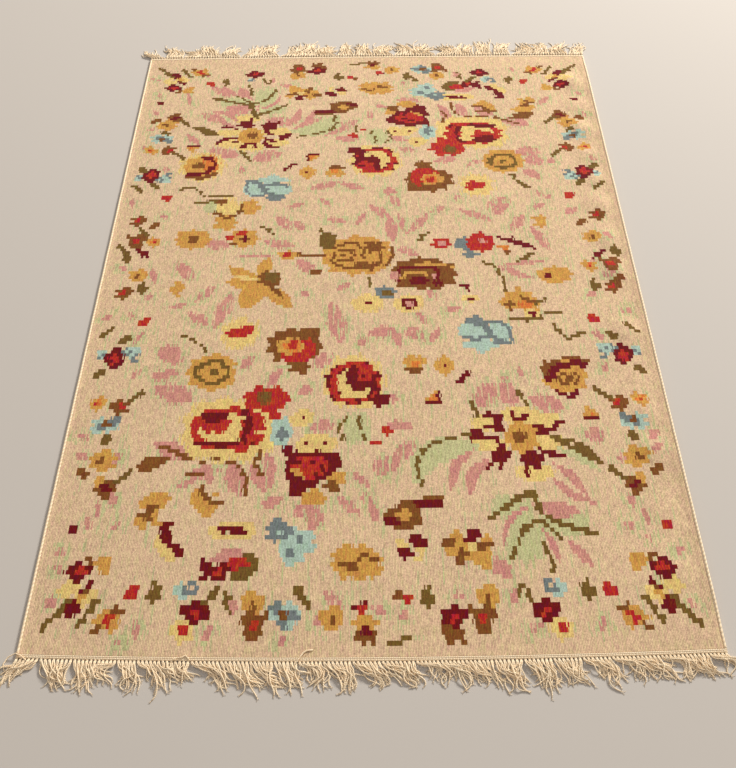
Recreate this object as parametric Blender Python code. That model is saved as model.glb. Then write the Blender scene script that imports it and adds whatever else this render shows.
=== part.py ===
"""Flat-woven wool rug with corded sides and a knotted cotton fringe at each end.

Run with: blender --background --python part.py

Metres, +Z up. The origin is the centre of the woven panel's underside, on the
floor. +Y runs along the rug's length to its far end, and +X to its right side.
"""

import math
import random
from typing import NamedTuple

import bmesh
import bpy

# Cloth: the width is over both side cords, and the length is along them
CLOTH_WIDTH = 1.200
CLOTH_LENGTH = 1.800
CLOTH_THICKNESS = 0.004
NEAR_BOW = 0.011
FAR_BOW = 0.003
GAP = 0.0003

# Side cords: six-sided, with a flat side on the floor
CORD_RADIUS = 0.0027
CORD_SIDES = 6

# Rows across the cloth, and where its columns of faces meet, as fractions of its half width
ROW_PITCH = 0.025
COLUMN_FRACTIONS = (-1.0, -0.93, -0.5, 0.0, 0.5, 0.82, 0.88, 0.93, 0.965, 0.985, 1.0)

# Right-hand edge: curled up a little, with soft mounds beside it
CURL_HEIGHT = 0.0035
CURL_WIDTH = 0.030
CURL_FADE = 0.120
MOUND_WIDTH = 0.100
MOUND_HALF_LENGTH = 0.050

# Fringe: a heading strip, and three-sided locks that lie flat side down on the floor
HEADING_DEPTH = 0.007
HEADING_HEIGHT = 0.0036
LOCKS_A_SPAN = 10
SWEEP_POWER = 1.5
CUT_JITTER = 0.07


class Mound(NamedTuple):
    """A soft mound in the cloth beside the right-hand edge."""

    y: float
    height: float


class Bunch(NamedTuple):
    """Neighbouring locks of the fringe that lie together."""

    locks: int
    lean: float
    reach: float
    gather: float


class Ring(NamedTuple):
    """A section of a lock: how far along its reach, and its size there."""

    along: float
    width: float
    height: float


class Path(NamedTuple):
    """One lock: its root's x, its sideways sweep over its bunch's reach, and how far it is cut."""

    root: float
    sweep: float
    reach: float
    cut: float


class Look(NamedTuple):
    """A piece's plain colour and finish."""

    color: tuple
    roughness: float


MOUNDS = (
    Mound(y=0.779, height=0.0035),
    Mound(y=0.667, height=0.0022),
    Mound(y=0.567, height=0.0035),
    Mound(y=0.455, height=0.0022),
    Mound(y=0.367, height=0.0024),
    Mound(y=0.267, height=0.0028),
    Mound(y=0.138, height=0.0022),
    Mound(y=0.036, height=0.0032),
    Mound(y=-0.160, height=0.0028),
    Mound(y=-0.290, height=0.0014),
    Mound(y=-0.378, height=0.0020),
    Mound(y=-0.472, height=0.0028),
    Mound(y=-0.625, height=0.0014),
    Mound(y=-0.748, height=0.0014),
)

# From the left corner to the right: locks, lean to the right, reach and gather
NEAR_BUNCHES = (
    Bunch(5, -0.026, 0.062, 0.66),
    Bunch(7, 0.008, 0.060, 0.58),
    Bunch(5, -0.004, 0.064, 0.62),
    Bunch(4, 0.000, 0.066, 0.64),
    Bunch(4, 0.008, 0.064, 0.64),
    Bunch(5, 0.018, 0.066, 0.62),
    Bunch(6, 0.020, 0.050, 0.62),
    Bunch(6, 0.026, 0.060, 0.60),
    Bunch(6, 0.030, 0.064, 0.60),
    Bunch(5, 0.024, 0.064, 0.62),
    Bunch(5, 0.014, 0.062, 0.62),
    Bunch(5, 0.010, 0.056, 0.62),
    Bunch(6, 0.016, 0.060, 0.62),
    Bunch(6, 0.028, 0.060, 0.62),
    Bunch(7, 0.029, 0.054, 0.62),
    Bunch(5, 0.028, 0.056, 0.62),
    Bunch(5, 0.024, 0.060, 0.64),
    Bunch(6, 0.018, 0.054, 0.62),
    Bunch(6, 0.010, 0.064, 0.60),
    Bunch(6, 0.012, 0.066, 0.60),
    Bunch(6, 0.014, 0.056, 0.62),
    Bunch(6, 0.022, 0.060, 0.62),
    Bunch(5, 0.026, 0.062, 0.64),
    Bunch(5, 0.028, 0.062, 0.64),
    Bunch(5, 0.028, 0.062, 0.66),
    Bunch(5, 0.026, 0.062, 0.68),
    Bunch(4, 0.030, 0.060, 0.72),
)
FAR_BUNCHES = (
    Bunch(5, -0.028, 0.058, 0.72),
    Bunch(6, -0.012, 0.064, 0.66),
    Bunch(6, -0.006, 0.066, 0.64),
    Bunch(7, -0.010, 0.070, 0.62),
    Bunch(6, 0.004, 0.070, 0.62),
    Bunch(7, 0.010, 0.068, 0.62),
    Bunch(6, 0.004, 0.072, 0.64),
    Bunch(7, 0.010, 0.076, 0.60),
    Bunch(6, 0.002, 0.078, 0.60),
    Bunch(6, 0.008, 0.074, 0.62),
    Bunch(6, 0.000, 0.074, 0.60),
    Bunch(7, -0.004, 0.072, 0.62),
    Bunch(6, 0.004, 0.076, 0.60),
    Bunch(7, -0.002, 0.074, 0.62),
    Bunch(7, 0.002, 0.072, 0.60),
    Bunch(6, 0.000, 0.076, 0.60),
    Bunch(7, 0.006, 0.074, 0.60),
    Bunch(6, -0.002, 0.076, 0.62),
    Bunch(6, 0.004, 0.076, 0.60),
    Bunch(7, 0.006, 0.074, 0.60),
    Bunch(6, 0.002, 0.076, 0.62),
    Bunch(6, 0.006, 0.072, 0.64),
    Bunch(5, 0.010, 0.066, 0.70),
)

# The first ring is the lock's root on the heading, and the second is its knot
LOCK_RINGS = (
    Ring(along=0.00, width=0.0050, height=0.0036),
    Ring(along=0.08, width=0.0058, height=0.0042),
    Ring(along=0.32, width=0.0036, height=0.0030),
    Ring(along=0.66, width=0.0034, height=0.0028),
    Ring(along=1.00, width=0.0030, height=0.0022),
)

WOOL = Look(color=(0.66, 0.52, 0.34, 1.0), roughness=0.95)
CORD_WOOL = Look(color=(0.74, 0.62, 0.44, 1.0), roughness=0.90)
COTTON = Look(color=(0.76, 0.68, 0.54, 1.0), roughness=0.90)


def clear_scene():
    """Remove every object that the scene starts with."""
    for obj in list(bpy.data.objects):
        bpy.data.objects.remove(obj, do_unlink=True)


def make_material(name, look):
    """Return a plain Principled material."""
    material = bpy.data.materials.new(name)
    material.use_nodes = True
    shader = material.node_tree.nodes["Principled BSDF"]
    shader.inputs["Base Color"].default_value = look.color
    shader.inputs["Roughness"].default_value = look.roughness
    shader.inputs["Metallic"].default_value = 0.0
    return material


def add_object(name, bm, material):
    """Put a bmesh into a new object of the scene, and return the object."""
    mesh = bpy.data.meshes.new(name)
    bm.to_mesh(mesh)
    bm.free()
    mesh.materials.append(material)
    mesh.shade_flat()
    obj = bpy.data.objects.new(name, mesh)
    bpy.context.scene.collection.objects.link(obj)
    return obj


def end_line(x, end):
    """Return how far from the middle the cloth's end lies at x, for the near (-1) or far (1) end."""
    bow = NEAR_BOW if end < 0 else FAR_BOW
    across = x / (CLOTH_WIDTH / 2)
    return CLOTH_LENGTH / 2 + bow * (1 - across * across)


def soft_step(value):
    """Ease from 0 to 1 with level ends."""
    clamped = min(max(value, 0.0), 1.0)
    return clamped * clamped * (3 - 2 * clamped)


def lift(x, y):
    """Return how high the cloth's underside is off the floor."""
    from_side = CLOTH_WIDTH / 2 - x
    from_end = CLOTH_LENGTH / 2 - abs(y)
    curl = CURL_HEIGHT * max(0.0, 1 - from_side / CURL_WIDTH) ** 2 * soft_step(from_end / CURL_FADE)
    if from_side >= MOUND_WIDTH:
        return 0.0
    mound_across = math.sin(math.pi * from_side / MOUND_WIDTH) ** 2
    mound_along = 0.0
    for mound in MOUNDS:
        offset = abs(y - mound.y) / MOUND_HALF_LENGTH
        if offset < 1:
            mound_along += mound.height * math.cos(math.pi * offset / 2) ** 2
    return curl + mound_across * mound_along


def row_fractions():
    """Return the rows' places along the cloth, from -1 at the near end to 1 at the far end."""
    steps = round(CLOTH_LENGTH / ROW_PITCH)
    return [2 * step / steps - 1 for step in range(steps + 1)]


def build_panel(material):
    """Build the woven panel: one sheet with its wool's full thickness."""
    half_width = CLOTH_WIDTH / 2 - 2 * CORD_RADIUS - GAP
    bm = bmesh.new()
    rows = []
    for along in row_fractions():
        row = []
        for across in COLUMN_FRACTIONS:
            x = across * half_width
            y = along * end_line(x, along)
            row.append(bm.verts.new((x, y, lift(x, y))))
        rows.append(row)
    for row, next_row in zip(rows, rows[1:]):
        for left in range(len(row) - 1):
            bm.faces.new((row[left], row[left + 1], next_row[left + 1], next_row[left]))
    panel = add_object("woven_panel", bm, material)
    solidify = panel.modifiers.new("wool_thickness", "SOLIDIFY")
    solidify.thickness = CLOTH_THICKNESS
    solidify.offset = 1.0
    return panel


def build_side_cord(name, side, material):
    """Build the overcast cord along the left (-1) or right (1) side."""
    bm = bmesh.new()
    centre_x = side * (CLOTH_WIDTH / 2 - CORD_RADIUS)
    centre_z = CORD_RADIUS * math.sin(math.radians(60))
    rings = []
    for along in row_fractions():
        y = along * CLOTH_LENGTH / 2
        base = lift(centre_x, y)
        ring = []
        for corner in range(CORD_SIDES):
            angle = 2 * math.pi * corner / CORD_SIDES
            x = centre_x + CORD_RADIUS * math.cos(angle)
            z = base + centre_z + CORD_RADIUS * math.sin(angle)
            ring.append(bm.verts.new((x, y, z)))
        rings.append(ring)
    for ring, next_ring in zip(rings, rings[1:]):
        for corner in range(CORD_SIDES):
            after = (corner + 1) % CORD_SIDES
            bm.faces.new((ring[corner], ring[after], next_ring[after], next_ring[corner]))
    bm.faces.new(rings[0])
    bm.faces.new(rings[-1])
    bmesh.ops.recalc_face_normals(bm, faces=bm.faces)
    return add_object(name, bm, material)


def lock_paths(bunches, seed):
    """Return each lock's path, from the left corner to the right."""
    draw = random.Random(seed)
    pitch = CLOTH_WIDTH / sum(bunch.locks for bunch in bunches)
    left = -CLOTH_WIDTH / 2
    paths = []
    for bunch in bunches:
        centre = left + bunch.locks * pitch / 2
        for number in range(bunch.locks):
            root = left + (number + 0.5) * pitch
            sweep = centre + bunch.lean + (root - centre) * bunch.gather - root
            cut = 1 + draw.uniform(-CUT_JITTER, CUT_JITTER)
            paths.append(Path(root, sweep, bunch.reach, cut))
        left += bunch.locks * pitch
    return paths


def add_lock(bm, end, root_ring, path):
    """Draw one lock out of its root triangle on the heading."""
    start = end_line(path.root, end) + GAP + HEADING_DEPTH
    ring = root_ring
    for section in LOCK_RINGS[1:]:
        along = section.along * path.cut
        x = path.root + path.sweep * along ** SWEEP_POWER
        turn = math.atan(path.sweep * SWEEP_POWER * along ** (SWEEP_POWER - 1) / path.reach)
        side_x = section.width / 2 * math.cos(turn)
        side_y = section.width / 2 * math.sin(turn)
        out = start + path.reach * along
        next_ring = (
            bm.verts.new((x - side_x, end * (out + side_y), 0.0)),
            bm.verts.new((x + side_x, end * (out - side_y), 0.0)),
            bm.verts.new((x, end * out, section.height)),
        )
        for corner in range(3):
            after = (corner + 1) % 3
            bm.faces.new((ring[corner], ring[after], next_ring[after], next_ring[corner]))
        ring = next_ring
    bm.faces.new(ring)


def add_heading(bm, end, paths):
    """Make the heading strip, open where the locks grow, and return the locks' root triangles."""
    half_root = LOCK_RINGS[0].width / 2
    side = CLOTH_WIDTH / 2

    def point(x, depth, z):
        return bm.verts.new((x, end * (end_line(x, end) + GAP + depth), z))

    roots = []
    for path in paths:
        roots.append((
            point(path.root - half_root, HEADING_DEPTH, 0.0),
            point(path.root + half_root, HEADING_DEPTH, 0.0),
            point(path.root, HEADING_DEPTH, LOCK_RINGS[0].height),
        ))
    corner_low = [point(x, HEADING_DEPTH, 0.0) for x in (-side, side)]
    corner_high = [point(x, HEADING_DEPTH, HEADING_HEIGHT) for x in (-side, side)]
    splits = list(range(0, len(roots), LOCKS_A_SPAN)) + [len(roots)]
    inner_x = [-side] + [paths[split].root for split in splits[1:-1]] + [side]
    inner_low = [point(x, 0.0, 0.0) for x in inner_x]
    inner_high = [point(x, 0.0, HEADING_HEIGHT) for x in inner_x]

    low_line = [corner_low[0]]
    high_line = [corner_high[0]]
    for low_left, low_right, high in roots:
        bm.faces.new((low_line[-1], low_left, high, high_line[-1]))
        low_line += [low_left, low_right]
        high_line.append(high)
    bm.faces.new((low_line[-1], corner_low[1], corner_high[1], high_line[-1]))
    low_line.append(corner_low[1])
    high_line.append(corner_high[1])

    last = len(splits) - 2
    for span, (start, stop) in enumerate(zip(splits, splits[1:])):
        high_from = 0 if span == 0 else start + 1
        high_to = len(high_line) if span == last else stop + 2
        low_from = 0 if span == 0 else 2 * start + 1
        low_to = len(low_line) if span == last else 2 * stop + 2
        bm.faces.new(high_line[high_from:high_to] + [inner_high[span + 1], inner_high[span]])
        bm.faces.new(low_line[low_from:low_to] + [inner_low[span + 1], inner_low[span]])
        bm.faces.new((inner_low[span], inner_low[span + 1], inner_high[span + 1], inner_high[span]))
    bm.faces.new((corner_low[0], inner_low[0], inner_high[0], corner_high[0]))
    bm.faces.new((corner_low[1], inner_low[-1], inner_high[-1], corner_high[1]))
    return roots


def build_fringe(name, end, bunches, material):
    """Build the fringe of the near (-1) or far (1) end: its heading strip and locks in one body."""
    bm = bmesh.new()
    paths = lock_paths(bunches, seed=name)
    roots = add_heading(bm, end, paths)
    for root_ring, path in zip(roots, paths):
        add_lock(bm, end, root_ring, path)
    bmesh.ops.recalc_face_normals(bm, faces=bm.faces)
    return add_object(name, bm, material)


def main():
    """Build the rug from its panel, its two side cords and its two fringes."""
    clear_scene()
    wool = make_material("wool_weave", WOOL)
    cord_wool = make_material("side_cord", CORD_WOOL)
    cotton = make_material("cotton_fringe", COTTON)
    build_panel(wool)
    build_side_cord("side_cord_left", -1, cord_wool)
    build_side_cord("side_cord_right", 1, cord_wool)
    build_fringe("fringe_near", -1, NEAR_BUNCHES, cotton)
    build_fringe("fringe_far", 1, FAR_BUNCHES, cotton)


main()
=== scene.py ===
"""Looks of a flat-woven wool rug with corded sides and a knotted cotton fringe.

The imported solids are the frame. The woven panel is a closed sheet whose ribs and
rows take their yarns from a weaver's chart. The chart is drawn by the classes
below from named flowers, leaves and strokes. Metres and +Z up, except the
chart's own places and sizes, which are in millimetres from the rug's middle.
"""

from __future__ import annotations

import logging
import math
import random
from dataclasses import dataclass, field
from enum import Enum
from typing import Iterable, Sequence, TypeAlias

import bpy
import numpy as np
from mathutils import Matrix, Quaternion, Vector

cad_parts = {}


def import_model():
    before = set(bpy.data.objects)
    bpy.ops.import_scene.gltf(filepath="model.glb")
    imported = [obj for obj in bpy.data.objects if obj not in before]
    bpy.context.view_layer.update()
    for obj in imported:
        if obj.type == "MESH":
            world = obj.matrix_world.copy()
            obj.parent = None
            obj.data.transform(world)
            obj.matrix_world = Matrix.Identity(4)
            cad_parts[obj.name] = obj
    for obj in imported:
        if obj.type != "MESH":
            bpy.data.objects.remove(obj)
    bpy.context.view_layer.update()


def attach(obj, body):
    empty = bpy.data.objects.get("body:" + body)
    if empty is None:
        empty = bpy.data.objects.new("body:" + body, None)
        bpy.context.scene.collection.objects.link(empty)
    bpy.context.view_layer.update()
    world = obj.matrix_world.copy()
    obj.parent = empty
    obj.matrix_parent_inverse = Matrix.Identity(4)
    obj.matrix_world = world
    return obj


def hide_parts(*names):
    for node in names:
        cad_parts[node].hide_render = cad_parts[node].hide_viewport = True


LOG = logging.getLogger("wool_rug")
BODY = "root"
MM = 0.001
COLUMNS = 148
RIBS_A_CELL = 3
STROKE_STEP = 3.0
NO_LENGTH = 1e-6


class Yarn(Enum):
    """Dyed yarns of the weave, numbered as the chart stores them."""

    CREAM = 0
    PALE_GREEN = 1
    PINK = 2
    CRIMSON = 3
    RED = 4
    ORANGE = 5
    MUSTARD = 6
    BROWN = 7
    OLIVE = 8
    YELLOW = 9
    PALE_BLUE = 10
    SLATE = 11


@dataclass(frozen=True)
class Dye:
    """A yarn's colour as seen, in 0 to 255 steps of red, green and blue."""

    red: int
    green: int
    blue: int

    def linear(self) -> tuple[float, float, float, float]:
        """Return the colour in linear light, with full alpha."""
        channels = [value / 255 for value in (self.red, self.green, self.blue)]
        lit = [c / 12.92 if c <= 0.04045 else ((c + 0.055) / 1.055) ** 2.4 for c in channels]
        return lit[0], lit[1], lit[2], 1.0


DYES = {
    Yarn.CREAM: Dye(213, 184, 151),
    Yarn.PALE_GREEN: Dye(188, 186, 139),
    Yarn.PINK: Dye(197, 138, 127),
    Yarn.CRIMSON: Dye(106, 6, 17),
    Yarn.RED: Dye(176, 38, 28),
    Yarn.ORANGE: Dye(208, 120, 54),
    Yarn.MUSTARD: Dye(199, 148, 73),
    Yarn.BROWN: Dye(123, 74, 31),
    Yarn.OLIVE: Dye(112, 85, 36),
    Yarn.YELLOW: Dye(219, 190, 121),
    Yarn.PALE_BLUE: Dye(166, 190, 178),
    Yarn.SLATE: Dye(112, 122, 124),
}


@dataclass(frozen=True)
class Cloth:
    """The rug's driving sizes in metres, the solids' own but for a higher right-hand edge."""

    width: float = 1.200
    length: float = 1.800
    thickness: float = 0.004
    near_bow: float = 0.011
    far_bow: float = 0.003
    gap: float = 0.0003
    cord_radius: float = 0.0027
    curl_height: float = 0.0060
    curl_width: float = 0.030
    curl_fade: float = 0.120
    mound_width: float = 0.100
    mound_half_length: float = 0.050

    @property
    def panel_half(self) -> float:
        """Return the woven panel's half width, inside the side cords."""
        return self.width / 2 - 2 * self.cord_radius - self.gap

    def end_line(self, x: float, end: int) -> float:
        """Return how far from the middle the cloth's end lies.

        Args:
            x: The place across the rug.
            end: -1 for the near end, 1 for the far end.

        Returns:
            The distance along the rug's length.
        """
        bow = self.near_bow if end < 0 else self.far_bow
        across = x / (self.width / 2)
        return self.length / 2 + bow * (1 - across * across)

    def lift(self, x: float, y: float) -> float:
        """Return how high the cloth's underside is off the floor at x, y."""
        from_side = self.width / 2 - x
        if from_side >= self.mound_width:
            return 0.0
        from_end = self.length / 2 - abs(y)
        rise = max(0.0, 1 - from_side / self.curl_width) ** 2
        curl = self.curl_height * rise * soft_step(from_end / self.curl_fade)
        across = math.sin(math.pi * from_side / self.mound_width) ** 2
        along = 0.0
        for mound in MOUNDS:
            offset = abs(y - mound.y) / self.mound_half_length
            if offset < 1:
                along += mound.height * math.cos(math.pi * offset / 2) ** 2
        return curl + across * along


@dataclass(frozen=True)
class Mound:
    """A soft mound in the cloth beside the right-hand edge."""

    y: float
    height: float


MOUNDS = (
    Mound(0.779, 0.0070),
    Mound(0.667, 0.0044),
    Mound(0.567, 0.0070),
    Mound(0.455, 0.0044),
    Mound(0.367, 0.0048),
    Mound(0.267, 0.0056),
    Mound(0.138, 0.0044),
    Mound(0.036, 0.0064),
    Mound(-0.160, 0.0056),
    Mound(-0.290, 0.0028),
    Mound(-0.378, 0.0040),
    Mound(-0.472, 0.0056),
    Mound(-0.625, 0.0028),
    Mound(-0.748, 0.0028),
)
CLOTH = Cloth()


def soft_step(value: float) -> float:
    """Ease from 0 to 1 with level ends."""
    clamped = min(max(value, 0.0), 1.0)
    return clamped * clamped * (3 - 2 * clamped)


@dataclass(frozen=True)
class Spot:
    """Where a motif is drawn on the chart: its middle, and how it is turned and squeezed."""

    x: float
    y: float
    turn: int = 1
    mirror: int = 1
    tall: float = 1.0

    def place(self, x: float, y: float) -> tuple[float, float]:
        """Return the rug's x and y for a point of the motif."""
        return self.x + self.turn * self.mirror * x, self.y + self.turn * self.tall * y

    def local(self, x: np.ndarray, y: np.ndarray) -> tuple[np.ndarray, np.ndarray]:
        """Return the motif's own coordinates for places on the rug."""
        return self.turn * self.mirror * (x - self.x), self.turn * (y - self.y) / self.tall


ORIGIN = Spot(0, 0)


@dataclass
class Chart:
    """The weaver's chart: the yarn that covers each rib in each row.

    A cell of the chart is three ribs wide and one row tall. Rows are beaten
    closer towards the far end.
    """

    columns: int = COLUMNS
    ribs_a_cell: int = RIBS_A_CELL
    rows: int = 212
    near_pitch: float = 1.155
    pitch_change: float = 0.155
    slip_run: int = 6
    box_margin: tuple[float, float] = (9.0, 11.0)
    fleck_half: tuple[float, float] = (570.0, 868.0)
    seed: int = 11
    yarns: np.ndarray = field(init=False)
    cells: np.ndarray = field(init=False)
    step_x: np.ndarray = field(init=False)
    rib_x: np.ndarray = field(init=False)
    row_y: np.ndarray = field(init=False)
    dashes: dict[Yarn, np.ndarray] = field(init=False)

    def __post_init__(self) -> None:
        """Lay out the cells and draw the uneven turns of the weft."""
        draw = np.random.default_rng(self.seed)
        half = CLOTH.panel_half / MM
        rib_width = 2 * half / self.ribs
        ribs = np.arange(self.ribs)
        self.yarns = np.zeros((self.rows, self.ribs), np.uint8)
        slips = draw.choice((-1, 0, 0, 1), size=(self.rows, self.ribs // self.slip_run + 1))
        slips = np.repeat(slips, self.slip_run, axis=1)[:, : self.ribs]
        self.cells = (ribs[None, :] + slips) // self.ribs_a_cell
        self.step_x = (self.cells + 0.5) * self.ribs_a_cell * rib_width - half
        self.rib_x = np.broadcast_to((ribs + 0.5) * rib_width - half, self.step_x.shape)
        centres = np.array([self.along((row + 0.5) / self.rows) for row in range(self.rows)])
        self.row_y = np.broadcast_to((centres[:, None] - 0.5) * CLOTH.length / MM, self.step_x.shape)
        self.dashes = {yarn: self.draw_dashes(draw) for yarn in Yarn}

    @property
    def ribs(self) -> int:
        """Return how many ribs lie side by side."""
        return self.columns * self.ribs_a_cell

    @property
    def cell_width(self) -> float:
        """Return a cell's width in millimetres."""
        return 2 * CLOTH.panel_half / MM / self.columns

    def along(self, share: float) -> float:
        """Return the share of the rug's length that a share of the rows takes, from the near end."""
        return self.near_pitch * share - self.pitch_change * share * share

    def row_share(self, y: float) -> float:
        """Return the share of the rows that lie nearer than y, in millimetres."""
        length = CLOTH.length / MM
        reached = y / length + 0.5
        inside = self.near_pitch**2 - 4 * self.pitch_change * reached
        return (self.near_pitch - math.sqrt(inside)) / (2 * self.pitch_change)

    def row_pitch(self, y: float) -> float:
        """Return a row's height at y against the mean row's."""
        return self.near_pitch - 2 * self.pitch_change * self.row_share(y)

    def draw_dashes(self, draw: np.random.Generator) -> np.ndarray:
        """Draw the short runs of rows that a hatched yarn keeps to, rib by rib.

        Args:
            draw: The seeded source of the runs' lengths and strengths.

        Returns:
            A strength from 0 to 1 for each rib of each row.
        """
        strengths = np.empty((self.rows, self.ribs))
        for rib in range(self.ribs):
            lengths = draw.choice((1, 2, 2, 3, 3, 4, 5), size=self.rows)
            runs = np.repeat(draw.random(self.rows), lengths)
            start = draw.integers(0, 4)
            strengths[:, rib] = runs[start : start + self.rows]
        return strengths

    def window(self, low: Sequence[float], high: Sequence[float]) -> tuple[slice, slice]:
        """Return the rows and ribs that hold a box given by its low and high corners."""
        across, along = self.box_margin
        rib_x = self.rib_x[0]
        row_y = self.row_y[:, 0]
        ribs = np.nonzero((rib_x >= low[0] - across) & (rib_x <= high[0] + across))[0]
        rows = np.nonzero((row_y >= low[1] - along) & (row_y <= high[1] + along))[0]
        if len(ribs) == 0 or len(rows) == 0:
            return slice(0, 0), slice(0, 0)
        return slice(rows[0], rows[-1] + 1), slice(ribs[0], ribs[-1] + 1)

    def fleck(self, yarn: Yarn, share: float) -> None:
        """Work a share of the field's dashes in another yarn, clear of the plain edges."""
        half_width, half_length = self.fleck_half
        inside = (np.abs(self.rib_x) < half_width) & (np.abs(self.row_y) < half_length)
        self.yarns[inside & (self.dashes[yarn] < share)] = yarn.value

    def paint(
        self, yarn: Yarn, area: tuple[slice, slice], reach: np.ndarray, hatch: float, cover: float = 1.0
    ) -> None:
        """Work a shape into the chart.

        Args:
            yarn: The yarn it is woven in.
            area: The rows and ribs that hold it.
            reach: How far each place lies from the shape's heart, 1 on its outline.
            hatch: 0 for a clean outline, or the share of the shape over which it fades in dashes.
            cover: The share of its heart that it fills, where it is worked in dashes.
        """
        if hatch > 0:
            solid = cover * np.clip((1 + hatch / 2 - reach) / hatch, 0, 1)
            taken = self.dashes[yarn][area] < solid
        else:
            taken = reach <= 1
        self.yarns[area][taken] = yarn.value


@dataclass(frozen=True)
class Patch:
    """A rounded patch of one yarn, with lobes where it stands for petals."""

    yarn: Yarn
    x: float
    y: float
    wide: float
    tall: float
    lobes: int = 0
    depth: float = 0.0
    turned: float = 0.0
    power: float = 2.2
    hatch: float = 0.0
    box_share: float = 1.3

    def draw(self, chart: Chart, spot: Spot) -> None:
        """Work the patch into the chart at a spot."""
        centre = spot.place(self.x, self.y)
        tall = self.tall * spot.tall
        half = (self.wide * self.box_share, tall * self.box_share)
        low = (centre[0] - half[0], centre[1] - half[1])
        high = (centre[0] + half[0], centre[1] + half[1])
        area = chart.window(low, high)
        grid = chart.rib_x if self.hatch else chart.step_x
        x, y = spot.local(grid[area], chart.row_y[area])
        across = (x - self.x) / self.wide
        up = (y - self.y) / self.tall
        reach = (np.abs(across) ** self.power + np.abs(up) ** self.power) ** (1 / self.power)
        if self.lobes:
            swing = np.cos(self.lobes * (np.arctan2(up, across) - math.radians(self.turned)))
            reach = reach / (1 - self.depth * (1 - swing) / 2)
        chart.paint(self.yarn, area, reach, self.hatch)


@dataclass(frozen=True)
class Stroke:
    """A stem, outline or leaf of one yarn that follows a line of points."""

    yarn: Yarn
    width: float
    points: tuple[tuple[float, float], ...]
    leaf: bool = False
    hatch: float = 0.0
    cover: float = 1.0
    tip_share: float = 0.25
    fullness: float = 0.7

    def samples(self) -> Iterable[tuple[float, float, float]]:
        """Yield places along the line with the half width there."""
        stretches = list(zip(self.points, self.points[1:]))
        lengths = [math.dist(start, stop) for start, stop in stretches]
        total = sum(lengths)
        run = 0.0
        for (start, stop), length in zip(stretches, lengths):
            steps = max(1, round(length / STROKE_STEP))
            for step in range(steps + 1):
                share = step / steps
                along = (run + share * length) / total
                swell = 1.0
                if self.leaf:
                    swell = max(self.tip_share, math.sin(math.pi * along) ** self.fullness)
                x = start[0] + (stop[0] - start[0]) * share
                y = start[1] + (stop[1] - start[1]) * share
                yield x, y, self.width / 2 * swell
            run += length

    def draw(self, chart: Chart, spot: Spot) -> None:
        """Work the stroke into the chart at a spot."""
        placed = [spot.place(x, y) for x, y in self.points]
        low = [min(point[axis] for point in placed) - self.width for axis in (0, 1)]
        high = [max(point[axis] for point in placed) + self.width for axis in (0, 1)]
        area = chart.window(low, high)
        grid = chart.rib_x if self.hatch else chart.step_x
        x, y = spot.local(grid[area], chart.row_y[area])
        reach = np.full(x.shape, np.inf)
        for at_x, at_y, half in self.samples():
            reach = np.minimum(reach, np.hypot(x - at_x, y - at_y) / half)
        chart.paint(self.yarn, area, reach, self.hatch, self.cover)


Part = Patch | Stroke


@dataclass(frozen=True)
class Flower:
    """A flower, bud or spray: its parts in the order they are laid over each other."""

    parts: tuple[Part, ...]

    def draw(self, chart: Chart, spot: Spot) -> None:
        """Work every part into the chart at a spot."""
        for part in self.parts:
            part.draw(chart, spot)


(CREAM, PALE_GREEN, PINK, CRIMSON, RED, ORANGE, MUSTARD, BROWN, OLIVE, YELLOW, PALE_BLUE, SLATE) = Yarn

LARGE_ROSE = Flower((
    Patch(YELLOW, 2, -6, 97, 82, 11, 0.10, power=3.0, hatch=0.16),
    Patch(RED, 0, -2, 76, 56, 9, 0.10, power=2.6),
    Patch(CRIMSON, 8, -6, 64, 46, power=2.6),
    Patch(RED, -7, 3, 64, 43, power=2.6),
    Patch(YELLOW, -4, -1, 52, 36, power=2.4),
    Patch(RED, 50, -4, 27, 40, 7, 0.30),
    Stroke(CRIMSON, 14, ((28, 42), (38, 26), (40, -6), (30, -36))),
    Stroke(CRIMSON, 12, ((-60, -38), (30, -40))),
    Patch(RED, -30, 14, 33, 28, 7, 0.14),
    Patch(RED, -16, -2, 12, 18),
    Patch(CRIMSON, -30, 30, 34, 13, 6, 0.15),
    Patch(CRIMSON, -34, 18, 18, 10),
    Patch(YELLOW, 66, -14, 9, 5),
    Patch(RED, 26, -50, 24, 10),
))
CREAM_ROSE = Flower((
    Patch(YELLOW, -3, 2, 67, 74, 9, 0.10, hatch=0.2),
    Patch(CRIMSON, -2, -2, 57, 62, 9, 0.10, 20),
    Patch(RED, -3, 0, 52, 56),
    Patch(CRIMSON, 3, 0, 43, 47),
    Patch(YELLOW, -4, -2, 34, 43),
    Patch(CRIMSON, 12, 13, 33, 36, 7, 0.10),
    Patch(RED, 21, 26, 22, 27, 5, 0.20),
    Stroke(CRIMSON, 5, ((16, 18), (36, 24))),
    Patch(CRIMSON, 50, -48, 18, 17),
    Patch(CRIMSON, -56, 14, 9, 9),
    Patch(YELLOW, 22, -62, 13, 11),
))
FLAME_ROSE = Flower((
    Patch(MUSTARD, 8, -72, 26, 20, 5, 0.20),
    Patch(CRIMSON, 2, 2, 54, 52, 6, 0.20, 30),
    Patch(CRIMSON, -22, -50, 18, 18),
    Patch(CRIMSON, 44, 12, 17, 22),
    Patch(CRIMSON, -42, 36, 9, 18),
    Patch(RED, 2, 0, 36, 28),
    Stroke(CRIMSON, 6, ((-34, 10), (2, 14), (26, 0), (14, -22))),
    Stroke(MUSTARD, 12, ((-38, -4), (-20, -16), (-4, -30)), leaf=True),
    Patch(MUSTARD, 53, -30, 14, 18),
    Patch(BROWN, 45, -48, 15, 14),
))
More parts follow.
